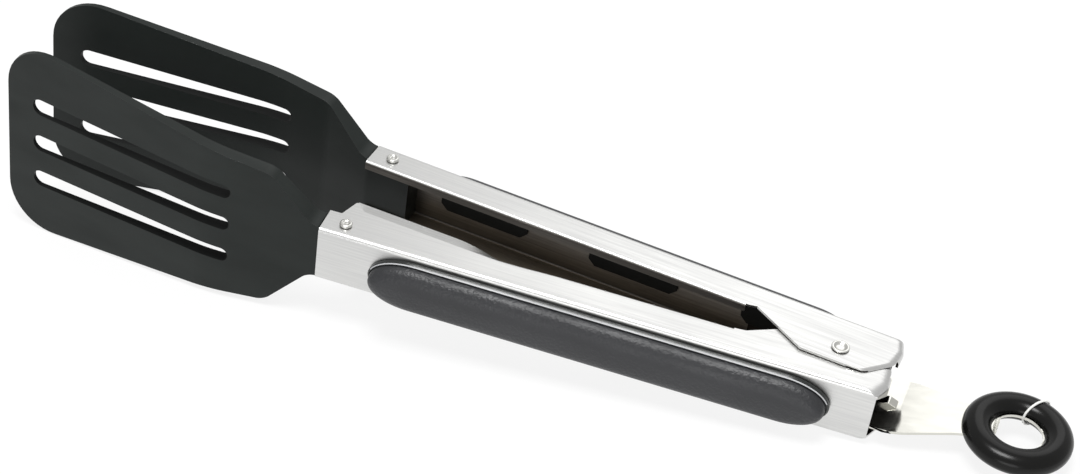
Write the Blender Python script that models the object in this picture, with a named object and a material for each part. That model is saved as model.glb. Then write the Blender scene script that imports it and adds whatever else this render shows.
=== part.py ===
"""Locking kitchen tongs with slotted turner heads, lying on their side.

Two pressed steel arms turn about one hollow rivet. Each carries a grip in two
shots and a moulded turner blade. A flat plate with a rubber ring slides
between the arms' rear ends and limits how far they open.

Shapes are drawn in an arm's own directions: s runs from the pivot towards the
head, n runs from the middle plane outwards through the arm's web, and z is
the pivot axis. The far arm is the near arm's mirror image. The whole tongs
then tilt until the blades and the rear end touch the floor together.
"""
import math

import bmesh
import bpy
from mathutils import Matrix, Vector

# Driving sizes, in metres and radians
PIVOT_TO_RIVET = 0.160
WEB_OFFSET = 0.0148
NEAR_HEIGHT = 0.0204
SHEET = 0.0008
OPEN_ANGLE = math.radians(3.36)
CLEARANCE = 0.0003
OVERRUN = 0.003

# Pressed arms
FRONT_REACH = 0.0072
WEB_REAR = 0.0151
BEND_RADIUS = 0.0016
HEM_RADIUS = 0.0012
HEM_DEPTH = 0.0030
NEAR_EDGE = 0.0035
FAR_EDGE = 0.0037
NOSE_CROSSING = 0.0030
NOSE_TAPER_START = 0.1045
NOSE_TAPER_END = 0.1530
NOSE_HEM_END = 0.1589
NOSE_CHAMFER_START = 0.1608
NOSE_CHAMFER_END = 0.1635
NOSE_TAB_EDGE = 0.0042
EAR_START = 0.0330
EAR_NOTCH = 0.0009
EAR_RELIEF_LENGTH = 0.0037
FAR_RELIEF_DEPTH = 0.0025
EAR_CROSSING = 0.0065
EAR_FLAT_FRONT = 0.0112
EAR_FLAT_REAR = 0.0055
EAR_REACH = 0.0173
EAR_WAIST = 0.0065
LIP_START = 0.0044
NEAR_LIP_DEPTH = 0.0064
FAR_LIP_DEPTH = 0.0032
LOWER_LIP_DEPTH = 0.0030
LIP_CORNER_DEPTH = 0.0026
BEND_STEPS = 4
EAR_STEPS = 7
LIP_STEPS = 5

# Rivets
RIVET_OFFSET = 0.0093
HEAD_RIVET_RADIUS = 0.0014
HEAD_RIVET_CAP = 0.0021
HEAD_RIVET_RISE = 0.0009
HEAD_RIVET_DIMPLE = 0.0007
PIVOT_RIVET_RADIUS = 0.0020
PIVOT_RIVET_CAP = 0.0029
PIVOT_RIVET_RISE = 0.0007
PIVOT_DISH_RADIUS = 0.0019
PIVOT_DISH_DEPTH = 0.0008
ROUND_STEPS = 24

# Grips
GRIP_CENTRE = 0.0736
GRIP_HALF_LENGTH = 0.0757
GRIP_HALF_HEIGHT = 0.0085
GRIP_END = 0.0152
GRIP_RISE = 0.0064
BASE_THICKNESS = 0.0016
RIM_WIDTH = 0.0014
BOSS_PITCH = 0.0534
BOSS_HALF_LENGTH = 0.0157
BOSS_HALF_HEIGHT = 0.0040
BOSS_CHAMFER = 0.0024
BOSS_LIP = 0.0008
BOSS_HEAD = 0.0008
PAD_SIDE = 0.0008
PAD_STEPS = 7
GRIP_END_STEPS = 10

# Turner blades
BLADE_TIP = 0.2824
BLADE_TIP_HALF = 0.0386
BLADE_TIP_THICKNESS = 0.0013
BLADE_SHOULDER = 0.1845
BLADE_SHOULDER_HALF = 0.0254
BLADE_SHOULDER_THICKNESS = 0.0050
BLADE_CORNER = 0.0140
SHOULDER_ROUND = 0.0070
NECK_FRONT = 0.1700
NECK_ROUND = 0.0060
SHANK_LENGTH = 0.0152
TOE_IN = math.radians(10.8)
TOE_START = 0.2045
SHANK_WALL = 0.0021
SLOT_ROOT = 0.2004
SLOT_TIP = 0.2696
SLOT_ROOT_RADIUS = 0.00255
SLOT_TIP_RADIUS = 0.0031
SLOT_ROOT_PITCH = 0.0130
SLOT_TIP_PITCH = 0.0146
CORNER_STEPS = 8
SLOT_STEPS = 8

# Torsion spring
WIRE_RADIUS = 0.0007
COIL_RADIUS = 0.0042
COIL_TURNS = 5
COIL_GAP = 0.0006
LEG_REACH = 0.0270
CURL_POINTS = 9
LEG_POINTS = 4

# Lock plate
PLATE_THICKNESS = 0.0010
PLATE_DROP = 0.0045
PLATE_FRONT = 0.0080
PLATE_NOSE_HALF = 0.0080
PLATE_WING_START = 0.0060
PLATE_WING_END = 0.0110
PLATE_WING_HALF = 0.01275
PLATE_CORNER = 0.0211
PLATE_NECK_HALF = 0.0066
PUSH_TRAVEL = 0.0080
TAB_START = 0.0135
TAB_PEAK = 0.0187
TAB_END = 0.0216
TAB_HALF_WIDTH = 0.0018
TAB_RISE = 0.0018

# Pull ring and tag loop
RING_CENTRE = 0.0592
RING_LIFT = 0.0012
RING_RADIUS = 0.0125
RING_HALF_WIDTH = 0.00505
RING_HALF_HEIGHT = 0.00405
EYE_RADIUS = 0.00695
EYE_RIM = 0.0037
RING_STEPS = 40
TUBE_STEPS = 14
TAG_RADIUS = 0.0004
TAG_PLAY = 0.0008
TAG_BEARING = math.radians(82.0)
TAG_SKEW = math.radians(17.0)
TAG_STEPS = 28

# Worked out from the sizes above
FAR_HEIGHT = NEAR_HEIGHT + 2 * (SHEET + CLEARANCE)
ARM_FRONT = PIVOT_TO_RIVET + FRONT_REACH
REACH = BLADE_TIP + OVERRUN
PLATE_JOGGLE_END = RING_CENTRE - RING_RADIUS - RING_HALF_WIDTH - CLEARANCE
MERGE_DISTANCE = 1e-6
MILLIMETRE = 1e-3
STEEPEST_TILT = math.radians(20)
TILT_HALVINGS = 50


def plan(s, n, z):
    """Point for an outline drawn in s and n and raised along z."""
    return Vector((s, n, z))


def side(s, z, n):
    """Point for an outline drawn in s and z and raised along n."""
    return Vector((s, n, z))


def new_mesh_object(name, bm):
    """Turn a bmesh into an object with its faces pointing out."""
    bmesh.ops.remove_doubles(bm, verts=bm.verts, dist=MERGE_DISTANCE)
    bmesh.ops.recalc_face_normals(bm, faces=bm.faces)
    mesh = bpy.data.meshes.new(name)
    bm.to_mesh(mesh)
    bm.free()
    obj = bpy.data.objects.new(name, mesh)
    bpy.context.collection.objects.link(obj)
    return obj


def add_prism(bm, outline, low, high, place):
    """Add a closed prism with the outline's points at two heights."""
    floor = [bm.verts.new(place(a, b, low)) for a, b in outline]
    roof = [bm.verts.new(place(a, b, high)) for a, b in outline]
    bm.faces.new(floor)
    bm.faces.new(list(reversed(roof)))
    for i in range(len(outline)):
        j = (i + 1) % len(outline)
        bm.faces.new((floor[j], floor[i], roof[i], roof[j]))


def add_loft(bm, rings, closed_ends=True):
    """Skin rings of equal length with quads, and cap the first and last."""
    rows = [[bm.verts.new(point) for point in ring] for ring in rings]
    count = len(rows[0])
    for low, high in zip(rows, rows[1:]):
        for i in range(count):
            j = (i + 1) % count
            bm.faces.new((low[i], low[j], high[j], high[i]))
    if closed_ends:
        bm.faces.new(list(reversed(rows[0])))
        bm.faces.new(rows[-1])
    return rows


def combine(obj, tool, operation):
    """Apply one exact Boolean with a tool object and remove the tool."""
    modifier = obj.modifiers.new(operation.title(), "BOOLEAN")
    modifier.operation = operation
    modifier.solver = "EXACT"
    modifier.object = tool
    bpy.context.view_layer.update()
    graph = bpy.context.evaluated_depsgraph_get()
    mesh = bpy.data.meshes.new_from_object(obj.evaluated_get(graph))
    old_mesh = obj.data
    obj.modifiers.clear()
    obj.data = mesh
    mesh.name = obj.name
    bpy.data.meshes.remove(old_mesh)
    bpy.data.objects.remove(tool)


def mirrored(obj):
    """Mirror a finished solid from the near side to the far side."""
    obj.data.transform(Matrix.Scale(-1.0, 4, Vector((0, 1, 0))))
    obj.data.flip_normals()


def arc(centre, radii, start, end, steps):
    """Points of an elliptic arc, both ends included."""
    return [(centre[0] + radii[0] * math.cos(start + (end - start) * i / steps),
             centre[1] + radii[1] * math.sin(start + (end - start) * i / steps))
            for i in range(steps + 1)]


def rounded(corners, steps):
    """Closed outline from (x, y, radius) corners with arcs in the corners."""
    points = []
    for i, (x, y, radius) in enumerate(corners):
        here = Vector((x, y))
        before = (Vector(corners[i - 1][:2]) - here).normalized()
        after = (Vector(corners[(i + 1) % len(corners)][:2]) - here).normalized()
        if radius == 0:
            points.append((x, y))
            continue
        half = before.angle(after) / 2
        centre = here + (before + after).normalized() * radius / math.sin(half)
        first = (here + before * radius / math.tan(half) - centre).normalized()
        last = (here + after * radius / math.tan(half) - centre).normalized()
        for k in range(steps + 1):
            points.append(tuple(centre + first.slerp(last, k / steps) * radius))
    return points


def disc(centre, radius, steps=ROUND_STEPS):
    """Outline of a circle."""
    return arc(centre, (radius, radius), 0, 2 * math.pi, steps)[:-1]


def smooth(obj, angle):
    """Shade round faces smooth and keep edges sharper than the angle."""
    obj.data.shade_smooth()
    obj.data.set_sharp_from_angle(angle=angle)


# Pressed arms

def arm_section(s, edge, half, hemmed):
    """Loop around the sheet at one station of an arm, both flanges."""
    sheet_side = []
    for depth in (0, SHEET):
        path = arc((WEB_OFFSET - BEND_RADIUS, half - BEND_RADIUS),
                   (BEND_RADIUS - depth, BEND_RADIUS - depth), 0, math.pi / 2, BEND_STEPS)
        if hemmed:
            path += arc((edge + HEM_RADIUS, half - HEM_RADIUS),
                        (HEM_RADIUS - depth, HEM_RADIUS - depth), math.pi / 2, math.pi, BEND_STEPS)
            path.append((edge + depth, half - HEM_DEPTH))
        else:
            start = edge + HEM_RADIUS
            end = -EAR_CROSSING - OVERRUN
            flat_steps = BEND_STEPS + 1
            path += [(start + (end - start) * i / flat_steps, half - depth)
                     for i in range(flat_steps + 1)]
        sheet_side.append([(n, -z) for n, z in reversed(path)] + path)
    outer, inner = sheet_side
    return [Vector((s, n, z)) for n, z in outer + list(reversed(inner))]


def add_channel(bm, stations, half):
    """Loft the pressed channel through its stations, with neat end caps."""
    rows = add_loft(bm, [arm_section(s, edge, half, hemmed) for s, edge, hemmed in stations],
                    closed_ends=False)
    for row, turned in ((rows[0], True), (rows[-1], False)):
        last = len(row) - 1
        for i in range(len(row) // 2 - 1):
            quad = (row[i], row[i + 1], row[last - i - 1], row[last - i])
            bm.faces.new(tuple(reversed(quad)) if turned else quad)


def ear_rear(n):
    """Where the ear's rounded rear edge lies, for a distance n from the middle."""
    if n < EAR_WAIST:
        share = (EAR_WAIST - n) / (EAR_WAIST + EAR_CROSSING)
        return -EAR_FLAT_REAR - (EAR_REACH - EAR_FLAT_REAR) * math.sqrt(max(0, 1 - share ** 2))
    share = (n - EAR_WAIST) / (WEB_OFFSET - EAR_WAIST)
    return -WEB_REAR - (EAR_REACH - WEB_REAR) * math.sqrt(max(0, 1 - share ** 2))


def ear_waste(edge, relief):
    """Outline of what is cut away around an ear, seen along the pivot."""
    notch = edge + HEM_RADIUS + CLEARANCE
    front = [(EAR_START, -REACH), (EAR_START, notch), (EAR_START - EAR_NOTCH, notch),
             (EAR_START - EAR_RELIEF_LENGTH, edge + relief),
             (EAR_FLAT_FRONT, -EAR_CROSSING)]
    rear = arc((-EAR_FLAT_REAR, EAR_WAIST),
               (EAR_REACH - EAR_FLAT_REAR, EAR_WAIST + EAR_CROSSING),
               -math.pi / 2, -math.pi, EAR_STEPS)
    corner = arc((-WEB_REAR, EAR_WAIST), (EAR_REACH - WEB_REAR, WEB_OFFSET - EAR_WAIST),
                 math.pi, math.pi / 2, EAR_STEPS)
    outside = [(-WEB_REAR, WEB_OFFSET + OVERRUN), (-REACH, WEB_OFFSET + OVERRUN), (-REACH, -REACH)]
    return front + rear + corner[1:] + outside


def nose_waste():
    """Outline of what is cut away in front of the near arm's wide nose."""
    below = -NOSE_CROSSING - OVERRUN
    flat_edge = -NOSE_CROSSING + HEM_RADIUS + CLEARANCE
    return [(NOSE_HEM_END, below), (NOSE_HEM_END, flat_edge), (NOSE_CHAMFER_START, flat_edge),
            (NOSE_CHAMFER_END, NOSE_TAB_EDGE), (ARM_FRONT + OVERRUN, NOSE_TAB_EDGE),
            (ARM_FRONT + OVERRUN, below)]


def add_rear_lip(bm, half, depth, up):
    """Add the lip that hangs from a flange's rounded rear edge."""
    rings = []
    for i in range(LIP_STEPS + 1):
        share = i / LIP_STEPS
        n = LIP_START + (WEB_OFFSET - SHEET / 2 - LIP_START) * share
        inside = ear_rear(n) + SHEET
        outside = -EAR_REACH - OVERRUN
        top = up * (half - SHEET / 2)
        bottom = up * (half - depth - (LIP_CORNER_DEPTH - depth) * share)
        rings.append([Vector((inside, n, top)), Vector((outside, n, top)),
                      Vector((outside, n, bottom)), Vector((inside, n, bottom))])
    add_loft(bm, rings)


def window_outline(centre, grow):
    """Long octagon of a boss, or of its window with the given growth."""
    length = BOSS_HALF_LENGTH + grow
    height = BOSS_HALF_HEIGHT + grow
    inner = length - BOSS_CHAMFER
    lower = height - BOSS_CHAMFER
    quarter = [(length, lower), (inner, height)]
    ring = quarter + [(-s, z) for s, z in reversed(quarter)]
    ring += [(-s, -z) for s, z in quarter] + [(s, -z) for s, z in reversed(quarter)]
    return [(centre + s, z) for s, z in ring]


def boss_centres():
    """Places of the three bosses along the grip."""
    return [GRIP_CENTRE + BOSS_PITCH * k for k in (-1, 0, 1)]


def make_arm(name, height, edge, relief, upper_lip, nose):
    """Press one arm: channel, hems, ears, lips, windows and rivet holes."""
    half = height / 2
    rear = -EAR_REACH - OVERRUN
    stations = [(rear, edge, False), (EAR_START - EAR_NOTCH, edge, False), (EAR_START, edge, True)]
    if nose:
        stations += [(NOSE_TAPER_START, edge, True), (NOSE_TAPER_END, -NOSE_CROSSING, True)]
    stations.append((ARM_FRONT, -NOSE_CROSSING if nose else edge, True))
    bm = bmesh.new()
    add_channel(bm, stations, half)
    arm = new_mesh_object(name, bm)

    lips = bmesh.new()
    add_rear_lip(lips, half, upper_lip, 1)
    add_rear_lip(lips, half, LOWER_LIP_DEPTH, -1)
    combine(arm, new_mesh_object("rear_lips", lips), "UNION")

    waste = bmesh.new()
    tall = half + OVERRUN
    add_prism(waste, ear_waste(edge, relief), -tall, tall, plan)
    if nose:
        add_prism(waste, nose_waste(), -tall, tall, plan)
    combine(arm, new_mesh_object("outline_waste", waste), "DIFFERENCE")

    holes = bmesh.new()
    add_prism(holes, disc((0, 0), PIVOT_RIVET_RADIUS + CLEARANCE), -tall, tall, plan)
    add_prism(holes, disc((PIVOT_TO_RIVET, RIVET_OFFSET), HEAD_RIVET_RADIUS + CLEARANCE),
              -tall, tall, plan)
    for centre in boss_centres():
        add_prism(holes, window_outline(centre, -BOSS_LIP), WEB_OFFSET - SHEET - OVERRUN,
                  WEB_OFFSET + OVERRUN, side)
    combine(arm, new_mesh_object("holes", holes), "DIFFERENCE")
    smooth(arm, math.radians(35))
    return arm


# Turned rivets

def turned(name, profile, steps=ROUND_STEPS):
    """Spin a closed (radius, height) profile that starts and ends on the axis."""
    bm = bmesh.new()
    verts = [bm.verts.new((radius, 0, z)) for radius, z in profile]
    edges = [bm.edges.new(pair) for pair in zip(verts, verts[1:])]
    bmesh.ops.spin(bm, geom=verts + edges, cent=(0, 0, 0), axis=(0, 0, 1),
                   angle=2 * math.pi, steps=steps, use_merge=True)
    return new_mesh_object(name, bm)


def rivet_half(radius, cap, rise, seat, dish_radius, dish_depth):
    """Upper half of a rivet's profile, from the middle of its dish down."""
    crown = [(0, seat + rise - dish_depth), (dish_radius * 2 / 3, seat + rise - dish_depth),
             (dish_radius, seat + rise)]
    shoulder = arc((cap - rise / 2, seat + rise / 2), (rise / 2, rise / 2),
                   math.pi / 2, 0, BEND_STEPS)
    return crown + shoulder + [(cap, seat), (radius, seat)]


def make_rivet(name, radius, cap, rise, height, dish_radius, dish_depth):
    """Make a rivet with a set head above and below a pair of flanges."""
    upper = rivet_half(radius, cap, rise, height / 2 + CLEARANCE, dish_radius, dish_depth)
    rivet = turned(name, upper + [(r, -z) for r, z in reversed(upper)])
    smooth(rivet, math.radians(40))
    return rivet


# Grips

def oblong(inset):
    """Grip outline, set in from its edge, with half-elliptic ends."""
    height = GRIP_HALF_HEIGHT - inset
    end = GRIP_END - inset
    straight = GRIP_HALF_LENGTH - GRIP_END
    front = arc((GRIP_CENTRE + straight, 0), (end, height), -math.pi / 2, math.pi / 2, GRIP_END_STEPS)
    rear = arc((GRIP_CENTRE - straight, 0), (end, height), math.pi / 2, 3 * math.pi / 2,
               GRIP_END_STEPS)
    return front + rear


def make_grip_base(name):
    """Mould the grip's hard base with the bosses that hold it in the web."""
    bm = bmesh.new()
    low = WEB_OFFSET + CLEARANCE
    add_prism(bm, oblong(0), low, low + BASE_THICKNESS, side)
    base = new_mesh_object(name, bm)
    for centre in boss_centres():
        inner = WEB_OFFSET - SHEET - CLEARANCE
        stem = bmesh.new()
        add_prism(stem, window_outline(centre, -BOSS_LIP - CLEARANCE),
                  inner - BOSS_HEAD / 2, low + BASE_THICKNESS / 2, side)
        combine(base, new_mesh_object("stem", stem), "UNION")
        head = bmesh.new()
        add_prism(head, window_outline(centre, 0), inner - BOSS_HEAD, inner, side)
        combine(base, new_mesh_object("head", head), "UNION")
    return base


def make_grip_pad(name):
    """Mould the soft crowned pad that lies on the base."""
    seat = WEB_OFFSET + BASE_THICKNESS + 2 * CLEARANCE
    crown = WEB_OFFSET + GRIP_RISE - seat - PAD_SIDE
    width = GRIP_HALF_HEIGHT - RIM_WIDTH
    rings = [[side(s, z, seat) for s, z in oblong(RIM_WIDTH)]]
    for i in range(PAD_STEPS + 1):
        angle = math.pi / 2 * i / (PAD_STEPS + 1)
        inset = RIM_WIDTH + width * (1 - math.cos(angle))
        n = seat + PAD_SIDE + crown * math.sin(angle)
        rings.append([side(s, z, n) for s, z in oblong(inset)])
    bm = bmesh.new()
    add_loft(bm, rings)
    pad = new_mesh_object(name, bm)
    smooth(pad, math.radians(60))
    return pad


# Turner blades

def toe(s):
    """How far the blade's outer face has come inwards at s."""
    return max(0, s - TOE_START) * math.tan(TOE_IN)


def blade_outline(neck):
    """Outline of a blade with its neck and shank, seen square to the web."""
    back = ARM_FRONT - SHANK_LENGTH - OVERRUN
    upper = [(back, neck, 0), (NECK_FRONT, neck, NECK_ROUND),
             (BLADE_SHOULDER, BLADE_SHOULDER_HALF, SHOULDER_ROUND),
             (BLADE_TIP, BLADE_TIP_HALF, BLADE_CORNER)]
    lower = [(s, -z, radius) for s, z, radius in reversed(upper)]
    return rounded(upper + lower, CORNER_STEPS)


def blade_thickness(s):
    """Thickness of the blade at s, which thins from the shoulder to the tip."""
    share = (s - BLADE_SHOULDER) / (BLADE_TIP - BLADE_SHOULDER)
    return BLADE_SHOULDER_THICKNESS + (BLADE_TIP_THICKNESS - BLADE_SHOULDER_THICKNESS) * share


def blade_profile(face):
    """Profile of blade, ramp and shank, seen along the pivot, for their outer face."""
    back = ARM_FRONT - SHANK_LENGTH
    shank_face = RIVET_OFFSET - HEAD_RIVET_RADIUS - CLEARANCE - SHANK_WALL
    outer = [(back, face), (TOE_START, face), (REACH, face - toe(REACH))]
    inner = [(s, face - toe(s) - blade_thickness(s)) for s in (REACH, TOE_START, BLADE_SHOULDER)]
    return outer + inner + [(ARM_FRONT, shank_face), (back, shank_face)]


def slot_outline(row):
    """Tapered slot with round ends, for a row above, on or below the middle."""
    root = Vector((SLOT_ROOT, row * SLOT_ROOT_PITCH))
    tip = Vector((SLOT_TIP, row * SLOT_TIP_PITCH))
    lean = math.atan2(tip.y - root.y, tip.x - root.x)
    ends = arc(tip, (SLOT_TIP_RADIUS, SLOT_TIP_RADIUS), lean - math.pi / 2, lean + math.pi / 2,
               SLOT_STEPS)
    ends += arc(root, (SLOT_ROOT_RADIUS, SLOT_ROOT_RADIUS), lean + math.pi / 2,
                lean + 3 * math.pi / 2, SLOT_STEPS)
    return ends


def make_blade(name, height):
    """Mould a blade: bent and slotted plate, thick shank and rivet hole."""
    neck = height / 2 - SHEET - CLEARANCE
    face = WEB_OFFSET - SHEET - CLEARANCE
    bm = bmesh.new()
    add_prism(bm, blade_profile(face), -REACH, REACH, plan)
    blade = new_mesh_object(name, bm)
    outline = bmesh.new()
    add_prism(outline, blade_outline(neck), -REACH, REACH, side)
    combine(blade, new_mesh_object("blade_outline", outline), "INTERSECT")

    cuts = bmesh.new()
    for row in (-1, 0, 1):
        add_prism(cuts, slot_outline(row), -REACH, REACH, side)
    add_prism(cuts, disc((PIVOT_TO_RIVET, RIVET_OFFSET), HEAD_RIVET_RADIUS + CLEARANCE),
              -REACH, REACH, plan)
    combine(blade, new_mesh_object("cuts", cuts), "DIFFERENCE")
    smooth(blade, math.radians(35))
    return blade


# Torsion spring

def spring_route():
    """Centre line of the spring: near leg on a boss, coil, far leg on the web."""
    pitch = 2 * WIRE_RADIUS + COIL_GAP
    web_gap = WEB_OFFSET - SHEET - CLEARANCE - WIRE_RADIUS
    boss_gap = web_gap - BOSS_HEAD - CLEARANCE
    legs = []
    for hand, gap in ((-1, boss_gap), (1, web_gap)):
        end = Vector((-LEG_REACH * math.cos(OPEN_ANGLE) + gap * math.sin(OPEN_ANGLE),
                      hand * (gap * math.cos(OPEN_ANGLE) + LEG_REACH * math.sin(OPEN_ANGLE))))
        bearing = math.atan2(end.y, end.x)
        lean = math.acos(COIL_RADIUS / end.length)
        legs.append((end, bearing + hand * -lean))
    (near_end, near_touch), (far_end, far_touch) = legs
    sweep = 2 * math.pi * COIL_TURNS + (far_touch - near_touch) % (2 * math.pi)
    count = round(sweep / (2 * math.pi) * CURL_POINTS)
    plate_top = -PLATE_DROP + PLATE_THICKNESS / 2
    flange_bottom = NEAR_HEIGHT / 2 - SHEET
    bottom = (plate_top + flange_bottom - pitch * sweep / (2 * math.pi)) / 2
    coil = []
    for i in range(count + 1):
        angle = near_touch + sweep * i / count
        coil.append(Vector((COIL_RADIUS * math.cos(angle), COIL_RADIUS * math.sin(angle),
                            bottom + pitch * (angle - near_touch) / (2 * math.pi))))
    first = [near_end.to_3d().lerp(coil[0].xy.to_3d(), i / LEG_POINTS) for i in range(LEG_POINTS)]
    last = [coil[-1].xy.to_3d().lerp(far_end.to_3d(), (i + 1) / LEG_POINTS)
            for i in range(LEG_POINTS)]
    near_leg = [Vector((p.x, p.y, coil[0].z)) for p in first]
    far_leg = [Vector((p.x, p.y, coil[-1].z)) for p in last]
    return near_leg + coil + far_leg


def least_gap(route, radius):
    """Least clear distance between parts of a tube a turn or more apart."""
    apart = CURL_POINTS - 2
    least = math.inf
    for i, here in enumerate(route):
        for start, end in zip(route[i + apart:], route[i + apart + 1:]):
            run = end - start
            share = max(0, min(1, (here - start).dot(run) / run.length_squared))
            least = min(least, (here - start - run * share).length)
    return least - 2 * radius


def add_tube(name, route, radius, resolution, cyclic=False):
    """Make a tube along a route from a bevelled curve."""
    curve = bpy.data.curves.new(name, "CURVE")
    curve.dimensions = "3D"
    curve.bevel_depth = radius
    curve.bevel_resolution = resolution
    curve.use_fill_caps = not cyclic
    spline = curve.splines.new("POLY")
    spline.points.add(len(route) - 1)
    for point, place in zip(spline.points, route):
        point.co = (*place, 1)
    spline.use_cyclic_u = cyclic
    obj = bpy.data.objects.new(name, curve)
    bpy.context.collection.objects.link(obj)
    return obj


def make_spring(name):
    """Wind the torsion spring and print its least gap to itself."""
    route = spring_route()
    print(f"{name} least gap to itself: {least_gap(route, WIRE_RADIUS) / MILLIMETRE:.2f} mm")
    return add_tube(name, route, WIRE_RADIUS, 1)


# Lock plate, ring and tag

def joggle(x):
    """Height of the plate's middle plane at x."""
    share = (x - PLATE_CORNER) / (PLATE_JOGGLE_END - PLATE_CORNER)
    return -PLATE_DROP + (PLATE_DROP + RING_LIFT) * min(1, max(0, share))


def plate_outline():
    """Outline of the plate, from its inner end to the eye inside the ring."""
    eye = EYE_RADIUS + EYE_RIM
    meet = math.asin(PLATE_NECK_HALF / eye)
    upper = [(-PLATE_FRONT, PLATE_NOSE_HALF), (PLATE_WING_START, PLATE_NOSE_HALF),
             (PLATE_WING_END, PLATE_WING_HALF), (PLATE_CORNER, PLATE_WING_HALF),
             (PLATE_JOGGLE_END, PLATE_NECK_HALF)]
    round_end = arc((RING_CENTRE, 0), (eye, eye), math.pi - meet, -math.pi + meet, ROUND_STEPS)
    return upper + round_end + [(x, -y) for x, y in reversed(upper)]


def slot_in_plate():
    """Outline of the slot that the pivot rivet runs in."""
    radius = PIVOT_RIVET_RADIUS + CLEARANCE
    return (arc((PUSH_TRAVEL, 0), (radius, radius), -math.pi / 2, math.pi / 2, SLOT_STEPS)
            + arc((0, 0), (radius, radius), math.pi / 2, 3 * math.pi / 2, SLOT_STEPS))


def make_lock_plate(name):
    """Cut the plate, fold its joggle and raise its small stop tab."""
    half = PLATE_THICKNESS / 2
    bm = bmesh.new()
    add_prism(bm, plate_outline(), -half, half, plan)
    plate = new_mesh_object(name, bm)
    cuts = bmesh.new()
    add_prism(cuts, slot_in_plate(), -OVERRUN, OVERRUN, plan)
    add_prism(cuts, disc((RING_CENTRE, 0), EYE_RADIUS), -OVERRUN, OVERRUN, plan)
    combine(plate, new_mesh_object("plate_cuts", cuts), "DIFFERENCE")

    bm = bmesh.new()
    bm.from_mesh(plate.data)
    for bend in (PLATE_CORNER, PLATE_JOGGLE_END):
        geometry = bm.verts[:] + bm.edges[:] + bm.faces[:]
        bmesh.ops.bisect_plane(bm, geom=geometry, dist=MERGE_DISTANCE,
                               plane_co=(bend, 0, 0), plane_no=(1, 0, 0))
    for vert in bm.verts:
        vert.co.z += joggle(vert.co.x)
    bm.to_mesh(plate.data)
    bm.free()

    tab = bmesh.new()
    base = -PLATE_DROP - half / 2
    top = -PLATE_DROP + half
    add_prism(tab, [(TAB_START, base), (TAB_START, top), (TAB_PEAK, top + TAB_RISE),
                    (TAB_END, top + TAB_RISE / 3), (TAB_END, base)],
              -TAB_HALF_WIDTH, TAB_HALF_WIDTH, side)
    combine(plate, new_mesh_object("tab", tab), "UNION")
    return plate


def make_pull_ring(name):
    """Turn the rubber ring with the groove that holds the plate's eye."""
    groove = PLATE_THICKNESS / 2 + CLEARANCE
    depth = EYE_RADIUS + EYE_RIM + CLEARANCE
    mouth = math.asin(groove / RING_HALF_HEIGHT)
    tube = arc((RING_RADIUS, 0), (RING_HALF_WIDTH, RING_HALF_HEIGHT),
               math.pi + mouth, 3 * math.pi - mouth, TUBE_STEPS)
    profile = tube + [(depth, groove), (depth, -groove)]
    bm = bmesh.new()
    verts = [bm.verts.new((radius, 0, z)) for radius, z in profile]
    edges = [bm.edges.new((verts[i - 1], verts[i])) for i in range(len(verts))]
    bmesh.ops.spin(bm, geom=verts + edges, cent=(0, 0, 0), axis=(0, 0, 1),
                   angle=2 * math.pi, steps=RING_STEPS, use_merge=True)
    ring = new_mesh_object(name, bm)
    passage = bmesh.new()
    width = PLATE_NECK_HALF + CLEARANCE
    inner = -EYE_RADIUS - EYE_RIM / 2
    outer = -RING_RADIUS - RING_HALF_WIDTH - OVERRUN
    add_prism(passage, [(inner, -width), (inner, width), (outer, width), (outer, -width)],
              -groove, groove, plan)
    combine(ring, new_mesh_object("passage", passage), "DIFFERENCE")
    ring.data.transform(Matrix.Translation((RING_CENTRE, 0, RING_LIFT)))
    smooth(ring, math.radians(50))
    return ring


def make_tag_loop(name):
    """Close the thin tag loop around the ring's tube."""
    across = (RING_HALF_WIDTH + TAG_PLAY + TAG_RADIUS) / math.cos(TAG_SKEW)
    upright = RING_HALF_HEIGHT + TAG_PLAY + TAG_RADIUS
    centre = Vector((RING_CENTRE + RING_RADIUS * math.cos(TAG_BEARING),
                     RING_RADIUS * math.sin(TAG_BEARING), RING_LIFT))
    heading = TAG_BEARING - TAG_SKEW
    run = Vector((math.cos(heading), math.sin(heading), 0))
    loop = arc((0, 0), (across, upright), 0, 2 * math.pi, TAG_STEPS)[:-1]
    route = [centre + run * a + Vector((0, 0, b)) for a, b in loop]
    return add_tube(name, route, TAG_RADIUS, 1, cyclic=True)


# Materials and assembly

FINISHES = {
    "brushed_steel": ((0.62, 0.62, 0.61), 0.35, 1.0),
    "polished_steel": ((0.70, 0.70, 0.69), 0.18, 1.0),
    "rivet_steel": ((0.66, 0.65, 0.62), 0.25, 1.0),
    "spring_steel": ((0.45, 0.45, 0.46), 0.3, 1.0),
    "black_nylon": ((0.030, 0.033, 0.032), 0.5, 0.0),
    "hard_grip": ((0.035, 0.036, 0.037), 0.4, 0.0),
    "soft_grip": ((0.048, 0.049, 0.051), 0.45, 0.0),
    "ring_rubber": ((0.016, 0.016, 0.015), 0.3, 0.0),
    "clear_filament": ((0.80, 0.80, 0.78), 0.3, 0.0),
}


def dress(obj, finish):
    """Give an object its own Principled material."""
    colour, roughness, metallic = FINISHES[finish]
    material = bpy.data.materials.new(f"{obj.name}_{finish}")
    material.use_nodes = True
    shader = material.node_tree.nodes["Principled BSDF"]
    shader.inputs["Base Color"].default_value = (*colour, 1)
    shader.inputs["Roughness"].default_value = roughness
    shader.inputs["Metallic"].default_value = metallic
    obj.data.materials.clear()
    obj.data.materials.append(material)


def empty(name, parent=None, turn=0):
    """Make an empty at the pivot, turned about the pivot axis."""
    frame = bpy.data.objects.new(name, None)
    bpy.context.collection.objects.link(frame)
    frame.rotation_euler.z = turn
    frame.parent = parent
    return frame


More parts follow.
